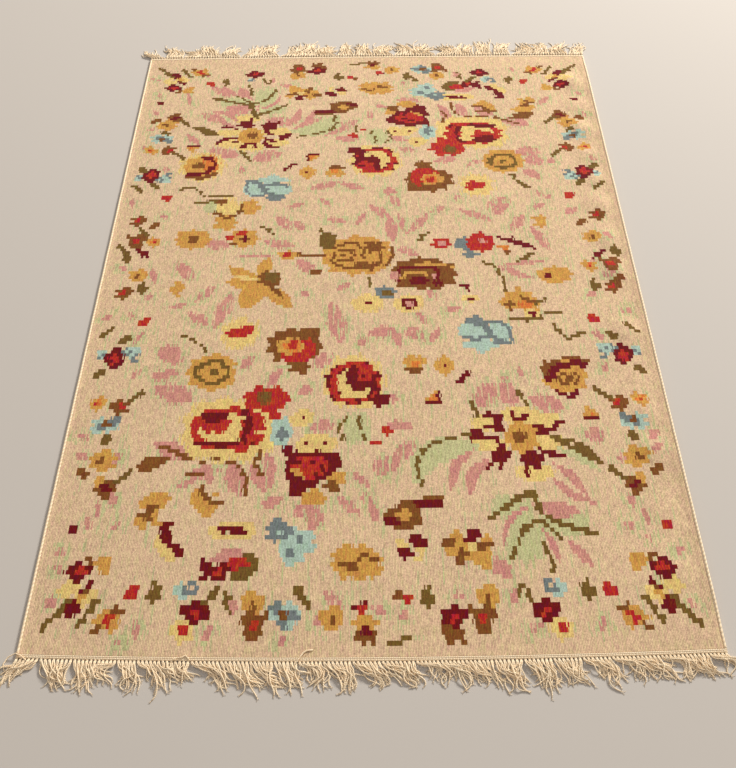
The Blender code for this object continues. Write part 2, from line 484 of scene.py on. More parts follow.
RED_BLOOM = Flower((
    Patch(RED, 0, 0, 49, 38, 7, 0.22, 10),
    Patch(RED, 16, -40, 12, 14),
    Patch(BROWN, -6, 5, 16, 19, hatch=0.4),
    Patch(OLIVE, -6, 5, 8, 11, hatch=0.6),
))
BROWN_BLOOM = Flower((
    Patch(BROWN, 2, 4, 64, 55, 11, 0.18),
    Patch(BROWN, 16, -58, 24, 22, 5, 0.25),
    Patch(BROWN, 42, 42, 13, 14),
    Patch(RED, 10, -6, 37, 41),
    Patch(BROWN, -4, 26, 32, 14),
    Patch(MUSTARD, -6, 2, 32, 27, 7, 0.22),
    Patch(ORANGE, -2, 2, 17, 17, hatch=0.5),
    Patch(RED, -2, 5, 9, 12),
))
RINGED_DAISY = Flower((
    Patch(MUSTARD, 0, 0, 54, 54, 12, 0.12),
    Patch(OLIVE, 0, 0, 37, 35, power=2.0),
    Patch(MUSTARD, 0, 0, 26, 24, power=2.0),
    Patch(OLIVE, 0, 0, 8, 8),
))
HEART_BLOOM = Flower((
    Patch(YELLOW, -2, -4, 44, 48, 9, 0.15, hatch=0.35),
    Patch(RED, -10, -3, 21, 12, 4, 0.12),
    Patch(RED, 12, 6, 17, 13, 4, 0.12),
    Patch(RED, 2, -8, 16, 12),
))
STAR = Flower((
    Patch(YELLOW, -66, 36, 28, 20, hatch=0.3),
    Patch(YELLOW, -64, -18, 42, 17, hatch=0.2),
    Patch(YELLOW, 4, 54, 38, 24, hatch=0.3),
    Patch(YELLOW, 54, 40, 34, 20, hatch=0.3),
    Patch(YELLOW, 56, -14, 34, 18, hatch=0.3),
    Patch(YELLOW, 18, -86, 36, 20, hatch=0.3),
    Stroke(CRIMSON, 13, ((-62, 58), (-38, 52), (-35, 16))),
    Stroke(CRIMSON, 12, ((-56, 27), (-38, 22))),
    Stroke(CRIMSON, 20, ((-104, -12), (-90, 6), (-68, 26)), leaf=True),
    Stroke(CRIMSON, 7, ((-76, 0), (-40, -4))),
    Stroke(CRIMSON, 12, ((-42, -4), (-38, -30))),
    Patch(CRIMSON, -45, -45, 25, 22, 5, 0.25),
    Stroke(CRIMSON, 10, ((-60, -50), (-66, -74))),
    Stroke(CRIMSON, 9, ((-40, -56), (-40, -74))),
    Patch(CRIMSON, 16, -57, 25, 23, 5, 0.25, 90),
    Stroke(CRIMSON, 10, ((3, -36), (4, -92))),
    Stroke(CRIMSON, 12, ((-10, 60), (-10, 42), (14, 42), (18, 56))),
    Stroke(CRIMSON, 9, ((24, 22), (48, 32))),
    Stroke(CRIMSON, 13, ((38, 12), (66, 16), (84, 36))),
    Stroke(CRIMSON, 13, ((38, -32), (54, -42), (72, -46))),
    Patch(MUSTARD, 2, 0, 34, 40, 8, 0.10),
    Patch(BROWN, -2, 0, 15, 15, hatch=0.6),
))
LEAF_SPRAY = Flower((
    Patch(PALE_GREEN, -30, -50, 34, 54, hatch=0.6),
    Patch(PALE_GREEN, 44, -20, 50, 30, hatch=0.55),
    Patch(PALE_GREEN, -50, 20, 40, 26, hatch=0.7),
    Stroke(PINK, 12, ((-8, 22), (-46, 0), (-64, -30), (-70, -62)), True, 0.25),
    Stroke(PINK, 15, ((4, -34), (18, -60), (28, -104)), True, 0.2),
    Stroke(PINK, 20, ((46, -56), (66, -84), (88, -114)), True, 0.2),
    Stroke(PINK, 38, ((4, 22), (36, 10), (72, 6)), True, 0.25),
    Stroke(PINK, 18, ((34, 84), (66, 42), (110, 22)), True, 0.25),
    Stroke(PINK, 18, ((42, 116), (70, 90), (96, 40)), True, 0.25),
    Stroke(OLIVE, 6, ((-14, 72), (-14, 52))),
    Stroke(OLIVE, 11, ((-10, 54), (-32, 38), (-58, 20), (-86, -4))),
    Stroke(OLIVE, 12, ((-8, 52), (2, 14), (8, 0), (30, -16), (70, -32), (104, -46))),
    Stroke(OLIVE, 10, ((6, -12), (-18, -20), (-36, -40), (-46, -66), (-56, -90))),
    Stroke(OLIVE, 10, ((8, -20), (24, -36), (40, -56))),
    Stroke(OLIVE, 8, ((4, -60), (12, -96), (16, -122))),
))
CURVED_LEAF = Flower((
    Stroke(PALE_GREEN, 62, ((66, 16), (10, 14), (-30, -10), (-50, -60)), True, 0.25),
    Stroke(OLIVE, 8, ((54, 48), (22, 38), (-20, 24), (-40, 4), (-48, -20), (-46, -56), (-36, -74))),
    Stroke(PINK, 21, ((62, 8), (26, -26), (12, -88)), True, 0.2),
    Stroke(PINK, 24, ((92, -14), (56, -48), (48, -96)), True, 0.2),
))
PANSY = Flower((
    Patch(PALE_BLUE, -28, 6, 38, 24, 5, 0.15, hatch=0.12),
    Patch(PALE_BLUE, 28, 2, 27, 29, hatch=0.12),
    Patch(PALE_BLUE, -14, -34, 42, 24, 4, 0.4, hatch=0.2),
    Patch(SLATE, -22, 36, 25, 17, 5, 0.25),
    Stroke(SLATE, 9, ((4, 30), (34, 28), (50, 6), (46, -30), (20, -28))),
    Patch(PALE_BLUE, 28, 2, 18, 20, hatch=0.12),
    Stroke(SLATE, 13, ((-10, 30), (2, 10), (10, -10))),
    Stroke(SLATE, 11, ((-46, -10), (-22, -20), (4, -12), (32, -26))),
))
MUSTARD_ROSE = Flower((
    Patch(MUSTARD, 0, 4, 86, 70, 11, 0.14),
    Patch(BROWN, -32, 4, 30, 24, 7, 0.2),
    Patch(MUSTARD, -32, 4, 22, 16, 5, 0.2),
    Patch(BROWN, -34, 4, 7, 6),
    Patch(BROWN, 40, 30, 30, 22, 6, 0.35, hatch=0.4),
    Patch(BROWN, 18, -30, 34, 14, 5, 0.3, hatch=0.5),
    Stroke(BROWN, 8, ((-60, -16), (-40, -34), (-4, -42), (22, -34))),
    Stroke(BROWN, 7, ((-50, 30), (-24, 44), (10, 50), (40, 44))),
    Stroke(BROWN, 7, ((4, 34), (14, 8), (8, -14))),
    Stroke(BROWN, 8, ((56, 6), (50, -20), (24, -52))),
    Stroke(BROWN, 8, ((78, 30), (80, 0), (66, -30)), hatch=0.4),
    Patch(MUSTARD, 28, -8, 12, 16),
))
GILT_ROSE = Flower((
    Patch(BROWN, 0, 0, 78, 56, 11, 0.14),
    Patch(MUSTARD, 22, 22, 46, 18, 7, 0.2),
    Patch(BROWN, 22, 12, 46, 16),
    Patch(CRIMSON, -14, -2, 50, 30, power=2.8),
    Patch(BROWN, -14, -8, 43, 26, power=2.8),
    Patch(MUSTARD, -18, -6, 34, 17, 7, 0.25),
    Patch(BROWN, -18, -14, 26, 12),
    Patch(CRIMSON, -12, -20, 24, 14, 6, 0.3),
    Patch(CRIMSON, 30, -30, 14, 10, hatch=0.5),
    Patch(PINK, -66, -6, 12, 14, hatch=0.5),
    Patch(PINK, 26, -8, 6, 8),
))
GOLD_ROSE = Flower((
    Patch(BROWN, 18, 38, 34, 18, 6, 0.3),
    Patch(MUSTARD, 0, -6, 50, 48, 9, 0.16),
    Patch(BROWN, -30, 16, 22, 24, 6, 0.25),
    Stroke(CRIMSON, 18, ((-34, -14), (-26, 8), (-10, 22), (20, 30), (44, 26))),
    Patch(BROWN, 8, -12, 27, 23, 6, 0.25),
    Patch(MUSTARD, 6, -12, 19, 16, 5, 0.2),
    Patch(BROWN, 6, -12, 8, 7),
    Stroke(CRIMSON, 9, ((-26, -44), (-12, -56), (8, -62), (18, -48))),
))
CRESCENT_ROSE = Flower((
    Patch(YELLOW, 2, 2, 56, 54, hatch=0.3),
    Patch(MUSTARD, 0, 2, 46, 46, 8, 0.15),
    Patch(ORANGE, 22, 8, 20, 30, hatch=0.75),
    Stroke(BROWN, 15, ((-34, -40), (4, -42), (34, -30))),
    Stroke(CRIMSON, 13, ((-2, 40), (20, 34), (32, 12), (24, -16), (2, -26), (-32, -30))),
    Patch(BROWN, -8, 6, 17, 11, hatch=0.5),
))
BELL_BLOOM = Flower((
    Patch(YELLOW, -6, 6, 38, 34, hatch=0.6),
    Patch(MUSTARD, 52, 4, 24, 30, 5, 0.2),
    Patch(MUSTARD, -2, -50, 28, 30, 5, 0.2),
    Stroke(BROWN, 10, ((-50, 10), (-40, -8), (-20, -20), (-2, -34), (16, -26), (28, -8), (34, 20))),
    Stroke(OLIVE, 8, ((-50, 46), (0, 46), (20, 44))),
    Patch(BROWN, -18, 26, 11, 10),
    Stroke(OLIVE, 9, ((-84, 24), (-56, 28), (-30, 28))),
    Patch(PALE_GREEN, -44, 6, 16, 20, hatch=0.3),
))
LILY = Flower((
    Stroke(MUSTARD, 34, ((10, 4), (-30, 22), (-66, 50)), True, 0.08),
    Stroke(MUSTARD, 34, ((10, -4), (-30, -4), (-68, 4)), True, 0.08),
    Stroke(YELLOW, 14, ((8, 6), (-30, 14), (-60, 24)), True, 0.3),
    Stroke(MUSTARD, 34, ((8, 22), (14, 50), (22, 76)), True, 0.08),
    Stroke(MUSTARD, 54, ((10, -4), (-8, -36), (-26, -76)), True, 0.06),
    Stroke(MUSTARD, 40, ((20, -16), (44, -40), (76, -76)), True, 0.06),
    Stroke(BROWN, 12, ((24, -8), (44, -28), (62, -52)), True, 0.2),
    Patch(BROWN, 26, 12, 26, 28, 7, 0.25),
    Patch(OLIVE, 32, 18, 18, 20, 5, 0.3, hatch=0.4),
))
OLIVE_LILY = Flower((
    Patch(MUSTARD, 2, 12, 34, 40, 5, 0.35, 90),
    Patch(MUSTARD, -28, 2, 22, 18, 4, 0.3),
    Patch(MUSTARD, 24, -6, 22, 22),
    Patch(ORANGE, 14, -8, 18, 12, hatch=0.5),
    Patch(BROWN, -16, -8, 12, 20, 4, 0.5),
    Stroke(BROWN, 8, ((6, 20), (22, 6), (34, 2))),
    Patch(YELLOW, 26, -36, 19, 13),
    Patch(CRIMSON, 26, -34, 8, 8),
    Stroke(OLIVE, 9, ((-20, -52), (14, -54), (46, -50), (50, -34), (90, -28))),
    Stroke(OLIVE, 9, ((34, -8), (60, 8))),
))


@dataclass(frozen=True)
class Place:
    """A flower at its place on the rug, in millimetres from the middle."""

    flower: Flower | Motif
    x: float
    y: float
    turn: int = 1
    mirror: int = 1


@dataclass(frozen=True)
class Pair:
    """A flower of the field that is worked near, and again far off, turned half round."""

    flower: Flower | Motif
    near: tuple[float, float]
    far: tuple[float, float]


@dataclass(frozen=True)
class Motif:
    """A small flower charted cell by cell, each letter a yarn, the top line its far side."""

    lines: tuple[str, ...]

    def draw(self, chart: Chart, spot: Spot) -> None:
        """Work the flower into the chart at a spot."""
        middle_cell = spot.x / chart.cell_width + chart.columns / 2
        middle_row = chart.row_share(spot.y) * chart.rows
        for number, line in enumerate(self.lines):
            row = math.floor(middle_row - spot.turn * (number + 0.5 - len(self.lines) / 2))
            for place, letter in enumerate(line):
                if letter == "." or not 0 <= row < chart.rows:
                    continue
                offset = spot.turn * spot.mirror * (place + 0.5 - len(line) / 2)
                cell = math.floor(middle_cell + offset)
                chart.yarns[row, chart.cells[row] == cell] = LETTERS[letter].value


LETTERS = {
    "K": CREAM, "P": PINK, "C": CRIMSON, "R": RED, "O": ORANGE,
    "M": MUSTARD, "B": BROWN, "L": OLIVE, "Y": YELLOW, "W": PALE_BLUE, "S": SLATE,
}


@dataclass(frozen=True)
class Leaf:
    """A pink leaf from its stalk to its tip, and a pale green shade round it, both worked in dashes."""

    from_x: float
    from_y: float
    to_x: float
    to_y: float
    width: float
    broad: float = 1.2
    hatch: float = 0.5
    cover: float = 0.88
    shade_back: tuple[float, float] = (9.0, 7.0)
    shade_past: tuple[float, float] = (9.0, 5.0)
    shade_extra: float = 26.0
    shade_hatch: float = 0.9
    shade_cover: float = 0.5

    def draw(self, chart: Chart) -> None:
        """Work the leaf into the chart."""
        back_x, back_y = self.shade_back
        past_x, past_y = self.shade_past
        shade = ((self.from_x - back_x, self.from_y - back_y), (self.to_x + past_x, self.to_y + past_y))
        width = self.width + self.shade_extra
        Stroke(PALE_GREEN, width, shade, True, self.shade_hatch, self.shade_cover).draw(chart, ORIGIN)
        line = ((self.from_x, self.from_y), (self.to_x, self.to_y))
        Stroke(PINK, self.width * self.broad, line, True, self.hatch, self.cover).draw(chart, ORIGIN)


@dataclass(frozen=True)
class Quad:
    """A flower of the border that is worked at both sides, at the near end and at the far end."""

    flower: Flower | Motif
    x: float
    near: float
    far: float

    def spots(self, chart: Chart) -> list[Spot]:
        """Return its four places, the far ones upside down and as low as the rows are there."""
        squeeze = chart.row_pitch(self.far) / chart.row_pitch(self.near)
        return [
            Spot(self.x, self.near),
            Spot(-self.x, self.near, mirror=-1),
            Spot(self.x, self.far, -1, -1, squeeze),
            Spot(-self.x, self.far, -1, 1, squeeze),
        ]


ORANGE_HEART = Motif((".MM.M.", "MMMMMM", "MMOOMM", ".MOOM.", "BBBBB.", ".BBB.."))
MUSTARD_DISC = Motif(("..M..", ".MMM.", "MMMMM", "MMCMM", "MMMMM", ".MMM.", "..M.."))
CRIMSON_SLANT = Motif(("...C", "..CC", ".CC.", "CC.."))
ORANGE_WEDGE = Motif(("..MC.", ".MOC.", "MOOC.", "CCCC."))
MUSTARD_WEDGE = Motif((".M..", ".MM.", "MMOM", "CCCC"))
MIXED_POSY = Motif((
    "....PPPPP....", "...PPPPPPLLL.", "C.PPPPRRRRLLL", "CCC.CCRRRRRLL", "CCCCRCCRRLLLL",
    ".CCRRC.LLLLL.", "CC.CCC.LLLL..",
))
CRIMSON_BAR = Motif(("..YYYYYYYY.", "YYCCCCCCYYY", "YYYC.CCCCYY", ".YYYYYYYYY."))
CRIMSON_CURVE = Motif((
    ".CCC...", ".CC....", ".CCC...", "YCCC...", "YYCC...", "YYYCCC.", ".YYYCCC", "..YYYCC",
    "...YY..",
))
MUSTARD_TUFT = Motif((
    "..MMMMM.", ".MMMMMMM", "MMMMMMM.", "MMBBBM..", "..BBM...", "BBBMM...", "MMBBM...",
    "MMM.MM..", ".MM.....",
))
BROWN_CROSS = Motif((
    "..B.....", ".MB.....", "MMBB.MM.", "MMMBB...", "MMMMBBBB", ".MMMMMM.", "..MMMM..",
    "...MM...",
))
PINK_BRANCH = Flower((
    Stroke(PINK, 26, ((0, 46), (54, 30)), True, 0.2),
    Stroke(PINK, 24, ((100, 0), (118, -46)), True, 0.2),
    Stroke(PINK, 24, ((150, -20), (168, -66)), True, 0.2),
    Stroke(PINK, 22, ((192, -6), (216, -60)), True, 0.2),
    Stroke(BROWN, 34, ((-26, -10), (0, 0), (30, 12)), True),
    Stroke(BROWN, 10, ((16, 42), (44, 28), (72, 8))),
    Stroke(BROWN, 8, ((92, 0), (124, 10), (156, 0))),
    Stroke(BROWN, 6, ((68, -26), (124, -22))),
    Stroke(BROWN, 10, ((208, 28), (200, -4), (212, -28))),
    Stroke(BROWN, 8, ((168, -4), (184, -36), (186, -72))),
))
BLUE_BUTTON = Flower((
    Patch(PALE_BLUE, 0, 0, 24, 38, 5, 0.2, hatch=0.1),
    Patch(SLATE, 0, -4, 13, 22, 4, 0.3),
))
YELLOW_BUTTON = Motif(("..YYYYYY..", ".YYYYYYYYY", "YYCYYYYCYY", "YYYYYYYYYY", ".YYYY.YYY."))
YELLOW_DOT = Motif(("..YYY.", ".YYYYY", "YYYCYY", "YYYYYY", ".YYYY."))
GREEN_BELL = Flower((
    Patch(PALE_GREEN, 6, -4, 30, 40, hatch=0.6),
    Stroke(OLIVE, 7, ((-8, 34), (-28, 2), (-20, -34))),
    Stroke(OLIVE, 7, ((8, 34), (20, -34))),
))
MUSTARD_CLOUD = Motif((
    "...MM.MM....", ".MMMMMMMMM..", "MMMMMMMBBMM.", ".MMMMMBMMBBM", "MMBBBBMMMMM.",
    ".MMMBBMMMMMM", "..MMMMMMMMM.", "..MM.MMM.M..",
))
BLUE_SPRAY = Motif((
    "..SS........", ".SSSS.......", "SSSSSSW.....", ".SSWSSSWWWW.", "SSSSSWWSSWWW",
    "..S.WWWSSWW.", "...WWWWWWWWW", "...WWSSWWWW.", "....WSSWW...", "....WWWWW...",
    ".....WW.....",
))
RED_DROP = Flower((
    Patch(PINK, 24, 14, 26, 13, hatch=0.2),
    Patch(RED, 0, 0, 13, 12, 5, 0.2),
    Patch(RED, -24, -28, 9, 7),
    Stroke(OLIVE, 7, ((-4, -20), (-4, -44))),
))
WINGED_BUD = Motif((
    ".........BBBBB..", "....BBBCCCCCCC..", "...BBBBBCCCCCC..", ".BBBMMBBB.......",
    "BBBMMMMBB.......", "CCCBMMBBB.......", "CCCCBBBBB.......", "..BBBBB.........",
))
PATCHWORK = Motif((
    "...M..CCC...", "..MMM.CCC.M.", "BBBMMCCC.MMM", "BBBMMMYYBBBB", ".MMMBMYYBBM.",
    ".MMMBBMMMMM.", "...BBMMMMMM.", "...BB..MMMM.", ".........MM.",
))
CRIMSON_STEPS = Motif(("...CCC.", "YY.CCCC", "YYY.CCC", "CCC.YY.", "CCCC.Y.", ".C..YY."))

PAIRS = (
    Pair(LARGE_ROSE, (-280, -408), (268, 548)),
    Pair(CREAM_ROSE, (-28, -292), (16, 440)),
    Pair(FLAME_ROSE, (-116, -504), (112, 620)),
    Pair(RED_BLOOM, (-206, -336), (202, 488)),
    Pair(BROWN_BLOOM, (-160, -192), (152, 366)),
    Pair(RINGED_DAISY, (-324, -262), (336, 434)),
    Pair(HEART_BLOOM, (-274, -148), (262, 338)),
    Pair(STAR, (296, -438), (-296, 548)),
    Pair(LEAF_SPRAY, (312, -620), (-300, 676)),
    Pair(CURVED_LEAF, (140, -476), (-128, 580)),
    Pair(PANSY, (252, -156), (-246, 334)),
    Pair(ORANGE_HEART, (94, -240), (-84, 398)),
    Pair(MUSTARD_DISC, (154, -244), (-152, 394)),
    Pair(CRIMSON_SLANT, (196, -280), (-196, 418)),
    Pair(ORANGE_WEDGE, (136, -330), (-140, 456)),
    Pair(MUSTARD_WEDGE, (444, -376), (-438, 494)),
    Pair(MIXED_POSY, (-252, -720), (252, 758)),
    Pair(CRIMSON_BAR, (-253, -648), (240, 706)),
    Pair(CRIMSON_CURVE, (-368, -676), (344, 734)),
    Pair(MUSTARD_TUFT, (-400, -604), (408, 678)),
    Pair(BROWN_CROSS, (-308, -580), (304, 664)),
    Pair(PINK_BRANCH, (-420, -496), (404, 626)),
    Pair(BLUE_BUTTON, (-174, -420), (154, 556)),
    Pair(YELLOW_BUTTON, (-104, -446), (86, 564)),
    Pair(YELLOW_DOT, (-134, -386), (126, 514)),
    Pair(GREEN_BELL, (-32, -410), (32, 536)),
    Pair(MUSTARD_CLOUD, (-28, -714), (28, 754)),
    Pair(BLUE_SPRAY, (-146, -670), (158, 732)),
    Pair(RED_DROP, (36, -420), (-32, 544)),
    Pair(WINGED_BUD, (92, -610), (-86, 664)),
    Pair(PATCHWORK, (180, -692), (-168, 732)),
    Pair(CRIMSON_STEPS, (80, -686), (-82, 736)),
)
PLACES = (
    Place(LILY, -248, 4),
    Place(OLIVE_LILY, 328, -66),
    Place(BELL_BLOOM, -332, 258),
    Place(MUSTARD_ROSE, -24, 88),
    Place(GILT_ROSE, 124, 28),
    Place(GOLD_ROSE, 404, -276),
    Place(CRESCENT_ROSE, -412, 420),
)

MIDDLE = Flower((
    Patch(YELLOW, -2, -64, 34, 28, hatch=0.3),
    Patch(CRIMSON, -2, -64, 8, 7, power=6),
    Patch(YELLOW, 88, -66, 34, 26, hatch=0.3),
    Stroke(CRIMSON, 10, ((206, -12), (222, -12), (222, -28))),
    Patch(YELLOW, 224, -52, 20, 12, hatch=0.15),
    Patch(CRIMSON, 224, -52, 6, 6, power=6),
    Patch(MUSTARD, -406, 150, 42, 36, 8, 0.15),
    Patch(BROWN, -406, 150, 12, 13),
    Patch(MUSTARD, -288, 152, 36, 34, 8, 0.2, hatch=0.15),
    Patch(RED, -294, 172, 13, 10),
    Patch(RED, -322, 156, 9, 8),
    Patch(BROWN, -312, 132, 8, 7),
    Stroke(BROWN, 8, ((-296, 150), (-274, 150))),
    Stroke(CRIMSON, 6, ((-286, 160), (-286, 138))),
    Stroke(OLIVE, 12, ((380, 100), (352, 76), (332, 60)), True),
    Patch(MUSTARD, 404, 204, 18, 26, 5, 0.3),
    Patch(MUSTARD, 416, 20, 40, 30, 9, 0.16),
    Patch(CRIMSON, 402, 20, 9, 8),
    Stroke(OLIVE, 7, ((256, 72), (288, 44), (300, 12), (300, -28))),
    Stroke(OLIVE, 12, ((142, 172), (108, 128)), True),
    Stroke(OLIVE, 9, ((396, -132), (404, -160), (424, -176), (460, -156))),
    Patch(OLIVE, -94, 140, 20, 30, hatch=0.15),
    Stroke(OLIVE, 8, ((-94, 146), (-108, 180))),
    Stroke(OLIVE, 8, ((-90, 140), (-72, 160))),
    Stroke(OLIVE, 7, ((-256, 192), (-232, 184), (-216, 160))),
    Stroke(OLIVE, 9, ((0, 20), (8, -14))),
    Stroke(PALE_GREEN, 20, ((366, -466), (404, -488), (440, -522)), True, 0.3),
    Stroke(OLIVE, 27, ((356, -438), (406, -464), (450, -508)), True, 0.1),
    Stroke(CREAM, 5, ((384, -448), (406, -460))),
    Stroke(OLIVE, 26, ((-376, 548), (-412, 566), (-450, 590)), True),
    Stroke(OLIVE, 8, ((297, -313), (317, -353))),
    Stroke(OLIVE, 9, ((203, -347), (213, -380))),
    Stroke(OLIVE, 9, ((-317, 480), (-293, 440))),
    Stroke(OLIVE, 9, ((353, 380), (366, 350), (393, 327))),
    Stroke(OLIVE, 8, ((-400, -157), (-366, -176), (-342, -200))),
    Stroke(OLIVE, 8, ((-457, 333), (-433, 340), (-413, 333), (-400, 308))),
    Patch(MUSTARD, -424, -14, 17, 26, 4, 0.3),
    Stroke(BROWN, 9, ((-100, 88), (-148, 88), (-160, 100))),
    Patch(MUSTARD, -184, 94, 24, 16, 5, 0.2),
    Patch(RED, -184, 94, 9, 7),
    Patch(BROWN, -118, 36, 11, 9),
))

RED_HEART = Motif(("..CC..", "CCCCCC", "CCRRCC", "CCRCC.", "..CC.."))
YELLOW_BUD = Motif((".YYY.", "YYRRY", "YYRRY", ".YYYY", "..Y.."))
HALF_BLUE = Motif(("SS.W.", "SKSWW", "SSSWW", "..WW."))
OLIVE_BUD = Motif((".L.", "LL.", "LLL", "LLL", ".L."))
OLIVE_LEAF = Motif(("LL.", "LLL", ".LL"))
OLIVE_SPRIG = Motif(("LL....", ".L....", ".LL...", "..LL..", "...LL.", "....LL", ".....L"))
OLIVE_DASH = Motif(("L...", "LL..", ".LL.", "..LL"))
OLIVE_STALK = Motif(("LL..", ".L..", ".LL.", "..L.", "..LL", "...L"))
OLIVE_ARCH = Motif((".LL.", "PL.L", "PL.L", "P..L"))
OLIVE_STRIP = Motif(("L..", "LL.", "LPP", "LPP", ".LP"))
OLIVE_TWIG = Motif(("LL..", "LL..", ".LL.", "..LL", "...L"))
TWIN_BUD = Motif(("BB..", "BBRR", "..RR"))
RED_CHIP = Motif(("..C", "CRR", ".RR"))
CAP_FLOWER = Motif((".MMM..", "MMMMMM", ".MCCM.", ".BCCB.", "BBBBB.", "..B.B."))
BROWN_FOOT = Motif(("BB...", "BBBBB", ".BBBB", ".BB.B"))
SLATE_SPOT = Motif(("SS", "SW"))
OLIVE_FLAT = Motif(("...LLL", "LLLL.."))
RED_BIT = Motif(("RR.", "RRR", "RRR"))
CORNER_FLOWER = Motif(("..B....", "BBBMM..", ".MRRMM.", ".MMRRMM", ".MMRMB.", "..M..BB"))
CORNER_BUD = Motif((
    ".C...YY..", ".CC.YYYY.", "YYBCYYYYY", "YYMMY.YY.", ".YYMCYY..", "..YCCC...", "...CCCCL.", "....CC.LL",
))
SIDE_ROSE = Motif(("MMM.BB....", "MMMMB.CC..", "MMM.CCRCC.", "MM..CRRRCC", ".....CCCC.", "......CC.."))
SQUARE = Motif(("CC", "CC"))
RED_SQUARE = Motif(("RR", "RR"))
BROWN_BUD = Motif(("L.......", "LL...MM.", ".LLBBMM.", "..BBCCM.", "..BCCBB.", "...BBB..", "...BB..."))
BROWN_SQUARE = Motif((".BB", "BBB", "BB."))
MUSTARD_BUD = Motif(("..MM...", ".MMMMM.", "MMMBMMM", ".MMBBM.", "MMMMMM.", "..MM..."))
BLUE_BUD = Motif(("SS..W..", "SSSBWWW", "WSBBSW.", "WWWSSWW", "..W.WW."))
RUST_BUD = Motif(("..BB.", "BBRBB", ".RRBB", "BBBB.", "..B.."))
AMBER_BUD = Motif((".M..", "MMOM", "MORM", ".MMM", "..M."))
WINGED_ROSE = Motif((
    "WWWS.CC....", "WWSWSCCC.WW", "SWWSCCRCCSW", ".SW.CRRRCWS", "SS..CRRCC..", "....CCRC...",
    ".....CC....",
))
DARK_HEART = Motif(("B..BB.", "BBBBBB", ".BRRBB", ".BRRB.", ".BBBB.", "..BBB."))
MUSTARD_POSY = Motif(("..MM.", "MMMMM", "MMBMM", "MMBMM", ".MMM."))
SLATE_POSY = Motif((".SS.W..", "SSSWWW.", "WSBBSSW", "WWBBSSS", "..SSWW.", "...SW.."))
ZIGZAG = Motif(("CC...", ".CCC.", "..CC.", "..C.C"))

BLUE_STAR = Flower((
    Patch(SLATE, 0, 0, 26, 24, 7, 0.22),
    Patch(OLIVE, 4, -4, 12, 8, power=3.0),
))
RING = Flower((
    Patch(CRIMSON, 0, 0, 19, 15, power=4.0),
    Patch(PINK, 0, 0, 10, 7, power=4.0),
))
RED_CLUSTER = Flower((
    Patch(SLATE, -4, 2, 22, 26, 5, 0.20),
    Patch(SLATE, 12, -36, 20, 12, 4, 0.25),
    Patch(RED, 36, 6, 34, 36, 9, 0.16),
    Patch(RED, -54, 0, 24, 20, 6, 0.15),
    Patch(PINK, -56, 0, 9, 8, power=4.0),
    Patch(PINK, 40, 10, 8, 7),
))
DARK_LEAF = Flower((
    Stroke(CRIMSON, 16, ((-44, 26), (-14, 14), (22, -4), (44, -20)), True),
    Stroke(CRIMSON, 7, ((-16, 18), (-8, 30))),
    Stroke(ORANGE, 17, ((-44, -4), (-20, -14)), True),
    Patch(BROWN, -22, -26, 9, 8),
))

QUADS = (
    Quad(RED_HEART, 306, -820, 827),
    Quad(OLIVE_BUD, 380, -782, 786),
    Quad(RED_BIT, 418, -780, 783),
    Quad(CORNER_FLOWER, 455, -831, 838),
    Quad(CORNER_BUD, 520, -789, 806),
    Quad(OLIVE_SPRIG, 548, -824, 842),
    Quad(OLIVE_STALK, 488, -826, 838),
    Quad(SIDE_ROSE, 509, -731, 760),
    Quad(SQUARE, 550, -650, 692),
    Quad(BROWN_BUD, 495, -548, 626),
    Quad(OLIVE_DASH, 472, -524, 600),
    Quad(BROWN_SQUARE, 548, -526, 614),
    Quad(MUSTARD_BUD, 522, -488, 596),
    Quad(OLIVE_LEAF, 518, -443, 558),
    Quad(BLUE_BUD, 525, -405, 536),
    Quad(RUST_BUD, 502, -360, 490),
    Quad(AMBER_BUD, 548, -352, 492),
    Quad(OLIVE_DASH, 474, -328, 460),
    Quad(WINGED_ROSE, 530, -226, 388),
    Quad(OLIVE_LEAF, 522, -168, 346),
    Quad(OLIVE_DASH, 563, -148, 335),
    Quad(OLIVE_LEAF, 560, -264, 408),
    Quad(RED_BIT, 482, -115, 296),
)
SINGLES = (
    Place(BLUE_STAR, 38, -32),
    Place(RING, 88, -66),
    Place(RED_CLUSTER, 222, 126),
    Place(DARK_LEAF, 342, 124),
    Place(RED_SQUARE, 550, -650),
)
